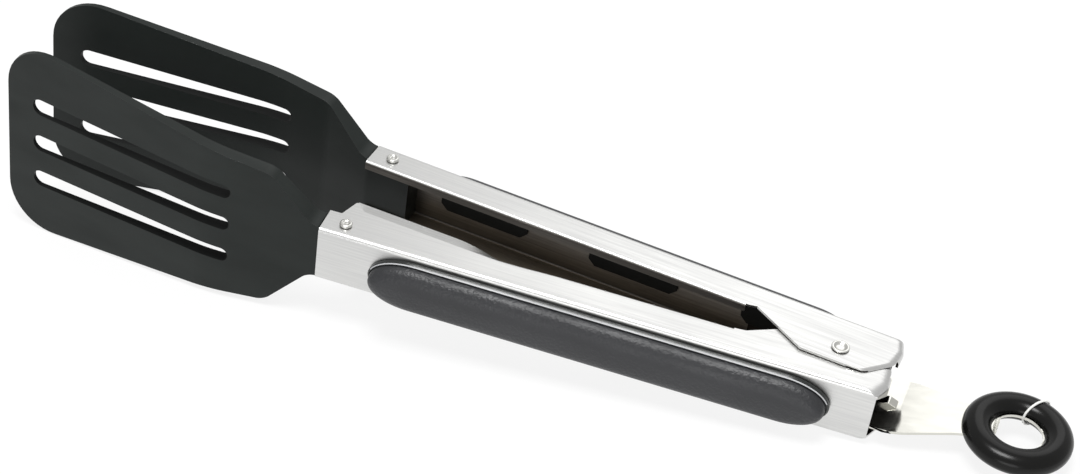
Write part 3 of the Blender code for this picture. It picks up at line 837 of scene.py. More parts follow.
@dataclass
class PressedArm:
    """A pressed steel channel with hems, ears and rear lips, in millimetres."""

    side: Side
    height: float
    edge: float
    relief: float
    lip: float
    wide_nose: bool
    # Corners of the ear: s, n and radius, but n, s and radius for the shoulder
    ear_turn: tuple[float, float, float]
    ear_shoulder: tuple[float, float, float]
    shoulder_share: float
    front: float = 167.2
    web_rear: float = 15.1
    bend: float = 1.6
    hem: float = 1.2
    hem_depth: float = 3.0
    opening: tuple[float, float] = (88.0, 126.0)
    opening_steps: int = 12
    flap_fold: float = 13.0
    flap_growth: float = 1.3
    flap_least: float = 0.05
    crease: tuple[float, float] = (157.2, 0.5)
    crease_slope: float = 0.104
    crease_top: float = 5.3
    flap_end: float = 160.1
    nose: float = -3.1
    nose_rise: float = 0.2
    nose_rounds: tuple[float, float] = (0.5, 0.6)
    nose_steps: int = 4
    chamfer: tuple[float, float] = (160.9, 163.3)
    tab_edge: float = 4.2
    ear_start: float = 33.0
    ear_notch: float = 0.9
    relief_length: float = 3.7
    ear_crossing: float = 6.5
    ear_flat: float = 11.2
    ear_join: float = -4.0
    ear_corner: tuple[float, float, float] = (-10.4, -6.0, 4.0)
    ear_least: float = 0.3
    ear_steps: int = 7
    ear_roll: float = 4.0
    ear_drop: float = 2.2
    slant_share: float = 0.4
    lip_start: float = 4.4
    lower_lip: float = 3.0
    corner_lip: float = 2.6
    rolled_edge: float = 1.0
    bend_steps: int = 8
    edge_round: float = 0.14
    inside_share: float = 0.5
    fold_share: float = 0.6
    waste_reach: float = 400.0
    end_reach: float = 40.0
    cap_reach: float = 60.0

    @property
    def half(self) -> float:
        """Half the height of the channel."""
        return self.height / 2

    def hem_bend(self, s: float) -> tuple[float, float]:
        """Where the hem's bend starts at a station and how far it is folded.

        Args:
            s: Station along the arm.

        Returns:
            Distance n of the bend's start, and the fold in degrees.
        """
        closed = self.edge + self.hem
        if not self.wide_nose or s <= self.opening[0]:
            return closed, 90.0
        share = min(1.0, (s - self.opening[0]) / (self.opening[1] - self.opening[0]))
        line = self.crease[1] + (self.crease[0] - s) * self.crease_slope
        start = min(closed + (self.crease_top - closed) * smooth(min(1.0, 2 * share)), line)
        if s > self.crease[0]:
            run = min(1.0, (s - self.crease[0]) / (self.flap_end - self.crease[0]))
            start = self.crease[1] + (self.nose - self.crease[1]) * run
        return start, 90.0 + (self.flap_fold - 90.0) * smooth(share)

    def section(self, bm: bmesh.types.BMesh, s: float, hemmed: bool) -> list[bmesh.types.BMEdge]:
        """Draw the channel's outer line across one station.

        Args:
            bm: Mesh to draw in.
            s: Station along the arm.
            hemmed: Whether the flanges end in hems or run on flat.

        Returns:
            The edges of the line.
        """
        half = self.half
        inner = WEB - self.bend
        old = set(bm.edges)
        start, fold = self.hem_bend(s)
        turn = math.radians(fold)
        length = self.hem * math.pi / 2 + self.hem_depth - self.hem - self.hem * turn
        length += self.flap_growth * (90.0 - fold) / (90.0 - self.flap_fold)
        if self.wide_nose and s > self.crease[0]:
            length = max(self.flap_least, start - self.nose)
        bent = Vector((s, start - self.hem * math.sin(turn),
                       half - self.hem + self.hem * math.cos(turn)))
        free = bent - Vector((0, math.cos(turn), math.sin(turn))) * length
        first = free if hemmed else Vector((s, -self.ear_crossing - OVERRUN, half))
        last = bm.verts.new(first)

        def straight(n: float, z: float) -> None:
            """Draw a straight to a point."""
            nonlocal last
            last = extend(bm, last, (s, n, z))

        def bend(n: float, z: float, angle: float) -> None:
            """Draw a bend about a centre."""
            nonlocal last
            last = swing(bm, last, (s, n, z), (1, 0, 0), -angle, self.bend_steps)

        if hemmed:
            straight(bent.y, bent.z)
            bend(start, half - self.hem, turn)
        straight(inner, half)
        bend(inner, half - self.bend, math.pi / 2)
        straight(WEB, -(half - self.bend))
        bend(inner, -(half - self.bend), math.pi / 2)
        if hemmed:
            straight(start, -half)
            bend(start, -(half - self.hem), turn)
            straight(free.y, -free.z)
        else:
            straight(first.y, -half)
        return [edge for edge in bm.edges if edge not in old]

    def channel(self, stations: list[float], hemmed: bool) -> bpy.types.Object:
        """Run the section through its stations and give the sheet its thickness.

        Args:
            stations: Stations along the arm.
            hemmed: Whether the flanges end in hems.

        Returns:
            The channel as a closed body.
        """
        bm = bmesh.new()
        lines = [self.section(bm, s, hemmed) for s in stations]
        for low, high in zip(lines, lines[1:]):
            bmesh.ops.bridge_loops(bm, edges=low + high)
        bmesh.ops.recalc_face_normals(bm, faces=bm.faces)
        web_face = max(bm.faces, key=lambda f: f.calc_center_median().y)
        if web_face.normal.y < 0:
            bmesh.ops.reverse_faces(bm, faces=bm.faces)
        obj = make_object("channel", bm, close=False)
        modifier = obj.modifiers.new("Sheet", "SOLIDIFY")
        modifier.thickness = SHEET
        modifier.offset = -1
        modifier.use_even_offset = True
        bake(obj)
        return obj

    def ear_waste(self) -> bpy.types.Object:
        """What is cut away beside and behind the ears' flat part.

        Returns:
            The cutter.
        """
        far = self.waste_reach
        notch = self.edge + GAP
        inner = WEB - SHEET - GAP
        outline = Outline((self.ear_start, -far))
        outline.to((self.ear_start, notch), (self.ear_start - self.ear_notch, notch),
                   (self.ear_start - self.relief_length, self.edge + self.relief),
                   (self.ear_flat, -self.ear_crossing), (self.ear_join, -self.ear_crossing),
                   (self.ear_join, inner), (-self.web_rear, inner),
                   (-self.web_rear, WEB + OVERRUN), (-far, WEB + OVERRUN), (-far, -far))
        return outline.prism("ear_waste", -self.height, self.height, Plane.PLAN)

    def web_ends(self) -> bpy.types.Object:
        """What is cut away above and below the web behind the ears' flat part.

        Returns:
            The cutter, in two blocks.
        """
        far = self.end_reach
        outline = Outline((-far, -far)).to((self.ear_join, -far), (self.ear_join, far),
                                           (-far, far))
        upper = outline.prism("upper", self.half - self.bend, 2 * self.height, Plane.PLAN)
        lower = upper.copy()
        lower.data = upper.data.copy()
        lower.data.transform(Matrix.Scale(-1, 4, Vector((0, 0, 1))))
        lower.data.flip_normals()
        bpy.context.scene.collection.objects.link(lower)
        combine(upper, lower, "UNION")
        return upper

    def ear_line(self, edge: float, roll: float, web: float, shrink: float) -> Outline:
        """The ear's rounded rear contour, each of its sides set in by its own distance.

        Args:
            edge: Distance inside the cut edge beside the other arm.
            roll: How far the rolled rear side has come inwards.
            web: How far the web's bend has come inwards.
            shrink: Distance inside the outer skin, the same all round.

        Returns:
            The closed outline with its face.
        """
        ahead = self.ear_join + OVERRUN
        slant = self.slant_share * roll + shrink
        rear = roll + shrink
        hold = self.shoulder_share * roll + shrink
        side = WEB - web - shrink
        corner_s, corner_n, corner_round = self.ear_corner
        turn_s, turn_n, turn_round = self.ear_turn
        shoulder_n, shoulder_s, shoulder_round = self.ear_shoulder
        inwards = Vector((turn_n - corner_n, corner_s - turn_s)).normalized()
        corner = corner_s + (slant - edge * inwards.y) / inwards.x
        turn = corner_n + (slant - (turn_s + rear - corner_s) * inwards.x) / inwards.y
        return polygon([(ahead, -self.ear_crossing + edge, 0),
                        (corner, corner_n + edge, max(self.ear_least, corner_round - slant)),
                        (turn_s + rear, turn, max(self.ear_least, turn_round - rear)),
                        (turn_s + hold, shoulder_n - WEB + side, shoulder_round),
                        (shoulder_s + hold, side, shoulder_round),
                        (ahead, side, 0)], self.ear_steps)

    def pillow(self, name: str, low: float, top: float, shrink: float) -> bpy.types.Object:
        """Solid ear whose rear edges roll over, outer skin or hollow.

        Args:
            name: Name of the solid.
            low: Height of its open bottom.
            top: Height of its roof.
            shrink: Distance inside the outer skin.

        Returns:
            The solid.
        """
        drop = self.ear_drop - shrink
        bend = self.bend - shrink
        rings = [(0.0, 0.0, low)]
        for i in range(self.bend_steps + 1):
            angle = math.pi / 2 * i / self.bend_steps
            fall = drop * (1 - math.sin(angle))
            reach = max(0.0, bend - fall)
            rings.append(((self.ear_roll - shrink) * (1 - math.cos(angle)),
                          bend - math.sqrt(bend ** 2 - reach ** 2), top - fall))
        bm = bmesh.new()
        edge = -1.0 if shrink else 0.0
        loops = [self.ear_line(edge, roll, web, shrink).lay(bm, Matrix.Translation((0, 0, z)))
                 for roll, web, z in rings]
        return skin(name, bm, loops)

    def ear_cap(self, depth: float, up: int) -> bpy.types.Object:
        """The ear's rear end: roof, rolled edges and the lip below them.

        Args:
            depth: Depth of the lip.
            up: 1 for the upper ear and -1 for the lower one.

        Returns:
            The cap.
        """
        far = self.cap_reach
        base = self.half - depth - OVERRUN
        cap = self.pillow("cap", base, self.half, 0.0)
        combine(cap, self.pillow("hollow", base - OVERRUN, self.half - SHEET, SHEET),
                "DIFFERENCE")
        ahead = Outline((self.ear_join, -far)).to((far, -far), (far, far), (self.ear_join, far))
        combine(cap, ahead.prism("ahead", -far, far, Plane.PLAN), "DIFFERENCE")
        free = Outline((-far, -far)).to((far, -far), (far, self.lip_start),
                                        (-far, self.lip_start))
        combine(cap, free.prism("free", base - far, self.half - self.rolled_edge, Plane.PLAN),
                "DIFFERENCE")

        def slant(bm: bmesh.types.BMesh) -> None:
            """Cut the lip's lower edge up towards the web.

            Args:
                bm: Mesh of the cap.
            """
            slope = depth - self.corner_lip
            run = WEB - self.lip_start
            bmesh.ops.bisect_plane(bm, geom=bm.verts[:] + bm.edges[:] + bm.faces[:], dist=WELD,
                                   plane_co=(0, self.lip_start, self.half - depth),
                                   plane_no=(0, slope, -run), clear_outer=True)
            bmesh.ops.holes_fill(bm, edges=[edge for edge in bm.edges if edge.is_boundary])
            bmesh.ops.scale(bm, vec=(1, 1, up), verts=bm.verts)
            bmesh.ops.recalc_face_normals(bm, faces=bm.faces)
        reshape(cap, slant)
        return cap

    def nose_waste(self) -> bpy.types.Object:
        """What is cut away in front of the near arm's wide nose.

        Returns:
            The cutter.
        """
        below = self.nose - OVERRUN
        ahead = self.front + OVERRUN
        rounds = self.nose_rounds
        outline = polygon([(self.flap_end, below, 0), (self.flap_end, self.nose, 0),
                           (self.chamfer[0], self.nose + self.nose_rise, rounds[0]),
                           (self.chamfer[1], self.tab_edge, rounds[1]),
                           (ahead, self.tab_edge, 0), (ahead, below, 0)], self.nose_steps)
        return outline.prism("nose_waste", -self.height, self.height, Plane.PLAN)

    def mark_inside(self, bm: bmesh.types.BMesh) -> None:
        """Tell the channel's inside, the ears' inside and the folds, which take painted shade,
        from the skin.

        Args:
            bm: Mesh of the arm.
        """
        for face in bm.faces:
            middle = face.calc_center_median()
            inwards = face.normal.y * (middle.y - WEB / 2) + face.normal.z * middle.z
            ahead = middle.x > self.ear_flat
            face.material_index = ArmFace.SKIN
            if inwards < -self.inside_share:
                face.material_index = ArmFace.INSIDE if ahead else ArmFace.EARS
            if face.normal.y < -self.fold_share and abs(middle.z) < self.half - self.hem / 2:
                face.material_index = ArmFace.FOLDS if ahead else ArmFace.EARS

    def build(self, grip: "Grip") -> bpy.types.Object:
        """Press, trim, drill and dress the arm.

        Args:
            grip: The grip whose bosses go through the web.

        Returns:
            The arm.
        """
        stations = [self.ear_start]
        if self.wide_nose:
            first, last = self.opening
            stations += [first + (last - first) * k / self.opening_steps
                         for k in range(self.opening_steps + 1)]
            stations += [self.crease[0], self.flap_end]
        stations.append(self.front)
        arm = self.channel(stations, True)
        combine(arm, self.channel([-self.web_rear - OVERRUN, self.ear_start], False), "UNION")
        combine(arm, self.ear_waste(), "DIFFERENCE")
        combine(arm, self.web_ends(), "DIFFERENCE")
        if self.wide_nose:
            combine(arm, self.nose_waste(), "DIFFERENCE")
        for depth, up in ((self.lip, 1), (self.lower_lip, -1)):
            combine(arm, self.ear_cap(depth, up), "UNION")
        combine(arm, cylinder("pivot_drill", (0, 0), PIVOT_BORE, self.height), "DIFFERENCE")
        combine(arm, cylinder("rivet_drill", HEAD_RIVET, HEAD_BORE, self.height), "DIFFERENCE")
        for centre in grip.bosses():
            window = grip.boss_outline(centre, -grip.boss_lip)
            combine(arm, window.prism("window", WEB - SHEET - OVERRUN, WEB + OVERRUN,
                                      Plane.FACE), "DIFFERENCE")
        reshape(arm, tidy_faces)
        soften(arm, self.edge_round, segments=2, degrees=40)
        reshape(arm, self.mark_inside)
        piece = Piece.of_side(self.side, "pressed_arm", "arm", Slot.ARM)
        finishes = (BRUSHED_STAINLESS, MILL_SKIN_AND_PAINTED_SHADE, PAINTED_SHADE_EARS_STAINLESS, PAINTED_SHADE_FOLD_STAINLESS)
        deliver(arm, piece, [finish.material(self.side) for finish in finishes], sharp=34)
        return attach(arm, piece.body.value)


# Grips

@dataclass
class Grip:
    """A two-shot grip on the outside of an arm's web, in millimetres."""

    side: Side
    fullness: tuple[float, float] = (3.4, 2.1)
    sink: float = 0.0
    centre: float = 73.6
    half_length: float = 75.7
    half_height: float = 8.5
    end: float = 15.2
    rise: float = 7.0
    base: float = 1.6
    rim: float = 0.75
    # Inset of each point of the rim's line, and its height over the base
    rim_line: tuple[tuple[float, float], ...] = ((0.0, -0.42), (0.06, -0.28), (0.2, -0.08),
                                                 (0.46, 0.26), (0.52, 0.28))
    rim_round: float = 0.08
    ridge_height: float = 0.2
    ridge_shares: tuple[float, float] = (0.1, 0.35)
    groove: float = 0.2
    boss_pitch: float = 53.4
    boss_length: float = 15.7
    boss_height: float = 4.0
    boss_chamfer: float = 2.4
    boss_lip: float = 0.8
    boss_head: float = 0.8
    boss_round: float = 0.25
    pad_play: float = 0.1
    pad_sink: float = 0.15
    pad_spacing: float = 0.75
    straight_steps: int = 6
    end_steps: int = 22
    crown_steps: int = 14

    def bosses(self) -> list[float]:
        """Places of the three bosses along the grip."""
        return [self.centre + self.boss_pitch * k for k in (-1, 0, 1)]

    def boss_outline(self, centre: float, grow: float) -> Outline:
        """Long octagon of a boss, or of its window.

        Args:
            centre: Place of the boss along the arm.
            grow: How much longer and higher it is to either side.

        Returns:
            The outline.
        """
        length = self.boss_length + grow
        height = self.boss_height + grow
        cut = self.boss_chamfer
        outline = Outline((centre + length, -height + cut))
        return outline.to((centre + length, height - cut), (centre + length - cut, height),
                          (centre - length + cut, height), (centre - length, height - cut),
                          (centre - length, -height + cut), (centre - length + cut, -height),
                          (centre + length - cut, -height))

    def ring(self, bm: bmesh.types.BMesh, insets: tuple[float, float],
             n: float) -> list[bmesh.types.BMEdge]:
        """Draw the grip's outline, set in from its edge, at a distance n.

        Args:
            bm: Mesh to draw in.
            insets: Distance inside the grip's edge, on its upper and lower side.
            n: Distance from the middle plane.

        Returns:
            The closed line's edges.
        """
        straight = self.half_length - self.end
        height = self.half_height - insets[1]
        stretch = ((self.end - insets[1]) / height, 1)
        lift = (1, (self.half_height - insets[0]) / height, 1)
        stops = [straight * k / self.straight_steps
                 for k in range(1 - self.straight_steps, self.straight_steps + 1)]
        outline = Outline((self.centre - straight, -height))
        outline.to(*[(self.centre + stop, -height) for stop in stops])
        outline.bend((self.centre + straight, 0), 180, self.end_steps, stretch)
        outline.to(*[(self.centre - stop, height) for stop in stops])
        outline.bend((self.centre - straight, 0), 180, self.end_steps, stretch)
        outline.face()
        bmesh.ops.scale(outline.bm, vec=lift, verts=[v for v in outline.bm.verts if v.co.y > 0])
        return outline.lay(bm, Matrix.Translation((0, n, -self.sink)) @ STANDING)

    def stack(self, name: str,
              rings: list[tuple[tuple[float, float], float]]) -> bpy.types.Object:
        """Join rings to a closed body.

        Args:
            name: Name of the body.
            rings: Upper and lower inset of each ring, and its distance n.

        Returns:
            The body.
        """
        bm = bmesh.new()
        return skin(name, bm, [self.ring(bm, insets, n) for insets, n in rings])

    def build_base(self) -> bpy.types.Object:
        """Mould the hard base with its rim, groove and bosses.

        Returns:
            The base.
        """
        low = WEB + GAP
        top = low + self.base
        crest = top + self.rim_line[-1][1]
        rings = [(0.0, low), *[(inset, top + rise) for inset, rise in self.rim_line],
                 (self.rim - self.rim_round, crest), (self.rim, crest - self.rim_round),
                 (self.rim, low + self.base / 2)]
        base = self.stack("base", [((inset, inset), n) for inset, n in rings])
        inner = WEB - SHEET - GAP
        for centre in self.bosses():
            stem = self.boss_outline(centre, -self.boss_lip - GAP)
            combine(base, stem.prism("stem", inner - self.boss_head / 2, low + self.base / 4,
                                     Plane.FACE), "UNION")
            head = self.boss_outline(centre, 0).prism("head", inner - self.boss_head, inner,
                                                      Plane.FACE)
            soften(head, self.boss_round, segments=2, degrees=30)
            combine(base, head, "UNION")
        outwards, upwards = self.ridge_shares

        def mark_parts(bm: bmesh.types.BMesh) -> None:
            """Tell what shows inside the channel, which takes painted shade, and the ridge's
            upward faces, which take a painted highlight, from the rim.

            Args:
                bm: Mesh of the base.
            """
            for face in bm.faces:
                n = face.calc_center_median().y
                face.material_index = GripFace.BOSS if n < WEB else GripFace.RIM
                steep = face.normal.z > upwards and face.normal.y > outwards
                if steep and top < n < top + self.ridge_height:
                    face.material_index = GripFace.RIDGE
        reshape(base, mark_parts)
        piece = Piece.of_side(self.side, "grip_shell", "grip_base", Slot.BASE)
        finishes = (HARD_GRIP, PAINTED_SHADE_BOSS_GRIP, PAINTED_HIGHLIGHT_RIDGE_GRIP)
        deliver(base, piece, [finish.material(self.side) for finish in finishes], sharp=22)
        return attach(base, piece.body.value)

    def build_pad(self) -> bpy.types.Object:
        """Mould the soft pad, one long side rounder than the other.

        Returns:
            The pad.
        """
        seat = WEB + GAP + self.base / 2 + self.pad_play
        start = WEB + GAP + self.base - self.pad_sink
        inset = self.rim + self.groove
        crown = WEB + self.rise - start
        width = self.half_height - inset
        rings = [((inset, inset), seat), ((inset, inset), start)]
        for i in range(1, self.crown_steps + 1):
            rise = math.sin(math.pi / 2 * i / (self.crown_steps + 1)) ** self.pad_spacing
            upper, lower = (inset + width * (1 - (1 - rise ** power) ** (1 / power))
                            for power in self.fullness)
            rings.append(((upper, lower), start + crown * rise))
        pad = self.stack("pad", rings)
        piece = Piece.of_side(self.side, "grip_cover", "grip_pad", Slot.PAD)
        deliver(pad, piece, [SOFT_GRIP.material(self.side)], sharp=70, weighted=False)
        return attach(pad, piece.body.value)


# Turner blades

@dataclass
class TurnerBlade:
    """A bent, tapering, slotted turner blade with its shank, in millimetres."""

    side: Side
    arm_height: float
    tip: float = 282.4
    tip_half: tuple[float, float] = (38.3, 37.9)
    tip_thickness: float = 1.3
    shoulder: float = 184.5
    shoulder_half: tuple[float, float] = (25.0, 26.5)
    shoulder_thickness: float = 5.0
    corner: float = 16.0
    shoulder_round: float = 7.0
    neck_front: float = 170.0
    neck_round: float = 6.0
    step_round: float = 0.4
    arm_front: float = 167.2
    shank: float = 15.2
    shank_face: float = 5.5
    toe_in: float = 10.8
    toe_start: float = 204.5
    # Radii of the outer bend, the inner bend, the ramp and its foot
    bends: tuple[float, float, float, float] = (60.0, 55.0, 18.0, 8.0)
    slot_ends: tuple[float, float] = (200.4, 269.6)
    slot_radii: tuple[float, float] = (2.55, 3.1)
    slot_pitches: tuple[float, float] = (13.0, 14.6)
    slot_margin: float = 4.0
    slot_share: float = 0.35
    edge_shares: tuple[float, float] = (0.3, 0.93)
    edge_round: float = 0.42
    reach: float = 60.0
    bend_steps: int = 6
    corner_steps: int = 12
    slot_steps: int = 14

    def toe(self, s: float) -> float:
        """How far the outer face has come inwards at s."""
        return max(0.0, s - self.toe_start) * math.tan(math.radians(self.toe_in))

    def thickness(self, s: float) -> float:
        """Thickness of the blade at s."""
        share = (s - self.shoulder) / (self.tip - self.shoulder)
        return self.shoulder_thickness + (self.tip_thickness - self.shoulder_thickness) * share

    def profile(self) -> bpy.types.Object:
        """Blade, ramp and shank as seen along the pivot, with eased bends.

        Returns:
            The profile, raised far to both sides.
        """
        face = WEB - SHEET - GAP
        back = self.arm_front - self.shank
        ahead = self.tip + OVERRUN
        outer, inner, ramp, foot = self.bends
        stations = (ahead, self.toe_start, self.shoulder)
        tip, toe, root = [(s, face - self.toe(s) - self.thickness(s)) for s in stations]
        corners = [(back, face, 0), (self.toe_start, face, outer),
                   (ahead, face - self.toe(ahead), 0), (*tip, 0), (*toe, inner),
                   (*root, ramp), (self.arm_front, self.shank_face, foot),
                   (back, self.shank_face, 0)]
        return polygon(corners, self.bend_steps).prism("profile", -self.reach, self.reach,
                                                       Plane.PLAN)

    def outline(self) -> bpy.types.Object:
        """The blade's outline with its neck and shank, seen square to the web.

        Returns:
            The outline, raised far to both sides.
        """
        inner = self.arm_height / 2 - SHEET - GAP
        outer = self.arm_height / 2 - GAP / 2
        back = self.arm_front - self.shank - OVERRUN
        step = self.arm_front + GAP

        def edge(row: int) -> list[tuple[float, float, float]]:
            """Corners of one long edge, from the shank to the tip.

            Args:
                row: 1 for the upper edge and -1 for the lower one.

            Returns:
                Place and radius of each corner.
            """
            side = 0 if row > 0 else 1
            shoulder, tip = self.shoulder_half[side], self.tip_half[side]
            corners = [(back, inner, 0), (step, inner, 0), (step, outer, self.step_round),
                       (self.neck_front, outer, self.neck_round),
                       (self.shoulder, shoulder, self.shoulder_round),
                       (self.tip, tip, self.corner)]
            return [(s, row * z, radius) for s, z, radius in corners]
        whole = polygon(edge(1) + edge(-1)[::-1], self.corner_steps)
        return whole.prism("outline", -self.reach, self.reach, Plane.FACE)

    def slot(self, row: int) -> bpy.types.Object:
        """Cutter for a tapered slot with round ends.

        Args:
            row: 1 for the upper slot, 0 for the middle one, -1 for the lower one.

        Returns:
            The cutter.
        """
        root = Vector((self.slot_ends[0], row * self.slot_pitches[0]))
        tip = Vector((self.slot_ends[1], row * self.slot_pitches[1]))
        across = Vector((tip - root).orthogonal()).normalized()
        outline = Outline(tuple(tip - across * self.slot_radii[1]))
        outline.bend(tuple(tip), 180, self.slot_steps)
        outline.to(tuple(root + across * self.slot_radii[0]))
        outline.bend(tuple(root), 180, self.slot_steps)
        return outline.prism("slot", -self.reach, self.reach, Plane.FACE)

    def mark_walls(self, bm: bmesh.types.BMesh) -> None:
        """Tell the slots' walls, which take painted shade, and the blade's rounded edges, which
        take a painted highlight, from its faces.

        Args:
            bm: Mesh of the blade.
        """
        for face in bm.faces:
            middle = face.calc_center_median()
            lean = abs(face.normal.y)
            near = abs(middle.z) < self.slot_pitches[1] + 2 * self.slot_radii[1]
            start, end = self.slot_ends
            along = start - self.slot_margin < middle.x < end + self.slot_margin
            face.material_index = BladeFace.FLAT
            if near and along:
                face.material_index = BladeFace.SLOT if lean < self.slot_share else BladeFace.FLAT
            elif self.edge_shares[0] < lean < self.edge_shares[1]:
                face.material_index = BladeFace.EDGE

    def build(self) -> bpy.types.Object:
        """Mould, slot, drill and round the blade.

        Returns:
            The blade.
        """
        blade = self.profile()
        combine(blade, self.outline(), "INTERSECT")
        for row in (-1, 0, 1):
            combine(blade, self.slot(row), "DIFFERENCE")
        combine(blade, cylinder("rivet_drill", HEAD_RIVET, HEAD_BORE, self.reach), "DIFFERENCE")
        reshape(blade, tidy_faces)
        soften(blade, self.edge_round, segments=3, degrees=40)
        reshape(blade, self.mark_walls)
        piece = Piece.of_side(self.side, "turner_blade", "blade", Slot.BLADE)
        finishes = (BLADE_NYLON, PAINTED_SHADE_SLOT_NYLON, PAINTED_HIGHLIGHT_EDGE_NYLON)
        deliver(blade, piece, [finish.material(self.side) for finish in finishes], sharp=40)
        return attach(blade, piece.body.value)


# Rivets

@dataclass
class Rivet:
    """A rivet through both flanges with a dished head at each end."""

    piece: Piece
    centre: tuple[float, float]
    radius: float
    cap: float
    rise: float
    height: float
    dish: float
    dish_depth: float
    nub: float = 0.0
    nub_shares: tuple[float, float] = (0.35, 0.6)
    floor_share: float = 0.62
    wall_shares: tuple[float, float] = (0.86, 0.35)
    lip_width: float = 0.12
    lip_drop: float = 0.05
    edge_share: float = 0.62
    crown_fall: float = 0.03
    seat_taper: float = 0.08
    edge_steps: int = 6
    steps: int = 48

    def build(self) -> bpy.types.Object:
        """Turn the rivet about its axis.

        Returns:
            The rivet.
        """
        seat = self.height / 2 + GAP
        crown = seat + self.rise
        floor = crown - self.dish_depth
        edge = self.rise * self.edge_share
        shoulder = (self.cap - edge, 0, crown - self.crown_fall)
        bm = bmesh.new()
        last = bm.verts.new((0, 0, floor + self.nub))
        for place in ((self.dish * self.nub_shares[0], 0, floor + self.nub * self.nub_shares[1]),
                      (self.dish * self.floor_share, 0, floor),
                      (self.dish * self.wall_shares[0], 0,
                       floor + self.dish_depth * self.wall_shares[1]),
                      (self.dish, 0, crown - self.lip_drop),
                      (self.dish + self.lip_width, 0, crown), shoulder):
            last = extend(bm, last, place)
        last = swing(bm, last, (shoulder[0], 0, shoulder[2] - edge), (0, 1, 0), math.pi / 2,
                     self.edge_steps)
        for place in ((self.cap - self.seat_taper, 0, seat), (self.radius, 0, seat),
                      (self.radius, 0, 0)):
            last = extend(bm, last, place)
        bmesh.ops.mirror(bm, geom=bm.verts[:] + bm.edges[:], axis="Z", merge_dist=WELD)
        revolve(bm, self.steps)
        bmesh.ops.translate(bm, verts=bm.verts, vec=(*self.centre, 0))
        piece = self.piece
        rivet = make_object(piece.name, bm)
        deliver(rivet, piece, [PLATED_RIVET.material(piece.side)], sharp=50, weighted=False)
        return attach(rivet, piece.body.value)


# Torsion spring

@dataclass
class TorsionSpring:
    """A wound wire spring whose legs press the arms apart, in millimetres."""

    wire: float = 0.7
    coil: float = 4.2
    turns: int = 5
    coil_gap: float = 0.6
    leg: float = 27.0
    web_gap: float = 12.7
    boss_gap: float = 11.6
    plate_top: float = -4.0
    flange_bottom: float = 9.4
    curl_points: int = 28
    leg_points: int = 10

    def legs(self) -> list[tuple[Vector, float]]:
        """Where the near and the far leg run.

        Returns:
            End point and touching angle of each leg.
        """
        opening = math.radians(REST.opening)
        found = []
        for hand, gap in ((-1, self.boss_gap), (1, self.web_gap)):
            end = Vector((-self.leg * math.cos(opening) + gap * math.sin(opening),
                          hand * (gap * math.cos(opening) + self.leg * math.sin(opening))))
            lean = math.acos(self.coil / end.length)
            found.append((end, math.atan2(end.y, end.x) - hand * lean))
        return found

    def routes(self) -> tuple[list[Vector], list[Vector]]:
        """Centre lines of the near half and the far half.

        Returns:
            The points of both lines.
        """
        (near_end, near_touch), (far_end, far_touch) = self.legs()
        pitch = 2 * self.wire + self.coil_gap
        winding = 2 * math.pi * self.turns + (far_touch - near_touch) % (2 * math.pi)
        count = round(winding / (2 * math.pi) * self.curl_points)
        height = pitch * winding / (2 * math.pi)
        bottom = (self.plate_top + self.flange_bottom - height) / 2
        coil = []
        for i in range(count + 1):
            angle = near_touch + winding * i / count
            coil.append(Vector((self.coil * math.cos(angle), self.coil * math.sin(angle),
                                bottom + height * i / count)))
        near_leg = [Vector((*near_end.lerp(coil[0].xy, i / self.leg_points), coil[0].z))
                    for i in range(self.leg_points)]
        far_leg = [Vector((*coil[-1].xy.lerp(far_end, (i + 1) / self.leg_points), coil[-1].z))
                   for i in range(self.leg_points)]
        middle = count // 2
        return near_leg + coil[:middle + 1], coil[middle:] + far_leg

    def build(self) -> list[bpy.types.Object]:
        """Wind both halves, each with its leg run out towards its arm.

        Returns:
            The two halves.
        """
        made = []
        (near_end, _), (far_end, _) = self.legs()
        plans = zip((Side.NEAR, Side.FAR), self.routes(), (near_end, far_end))
        for side, route, end in plans:
            half = wire("spring_half", route, self.wire)
            piece = Piece(f"torsion_spring_{side.value}_half", "torsion_spring", Side.MIDDLE,
                          SIDE_BODY[side], Slot.SPRING)
            deliver(half, piece, [SPRING_WIRE.material(Side.MIDDLE)], sharp=50, weighted=False)
            made.append(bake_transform(half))
        return made


# Lock plate, ring and tag

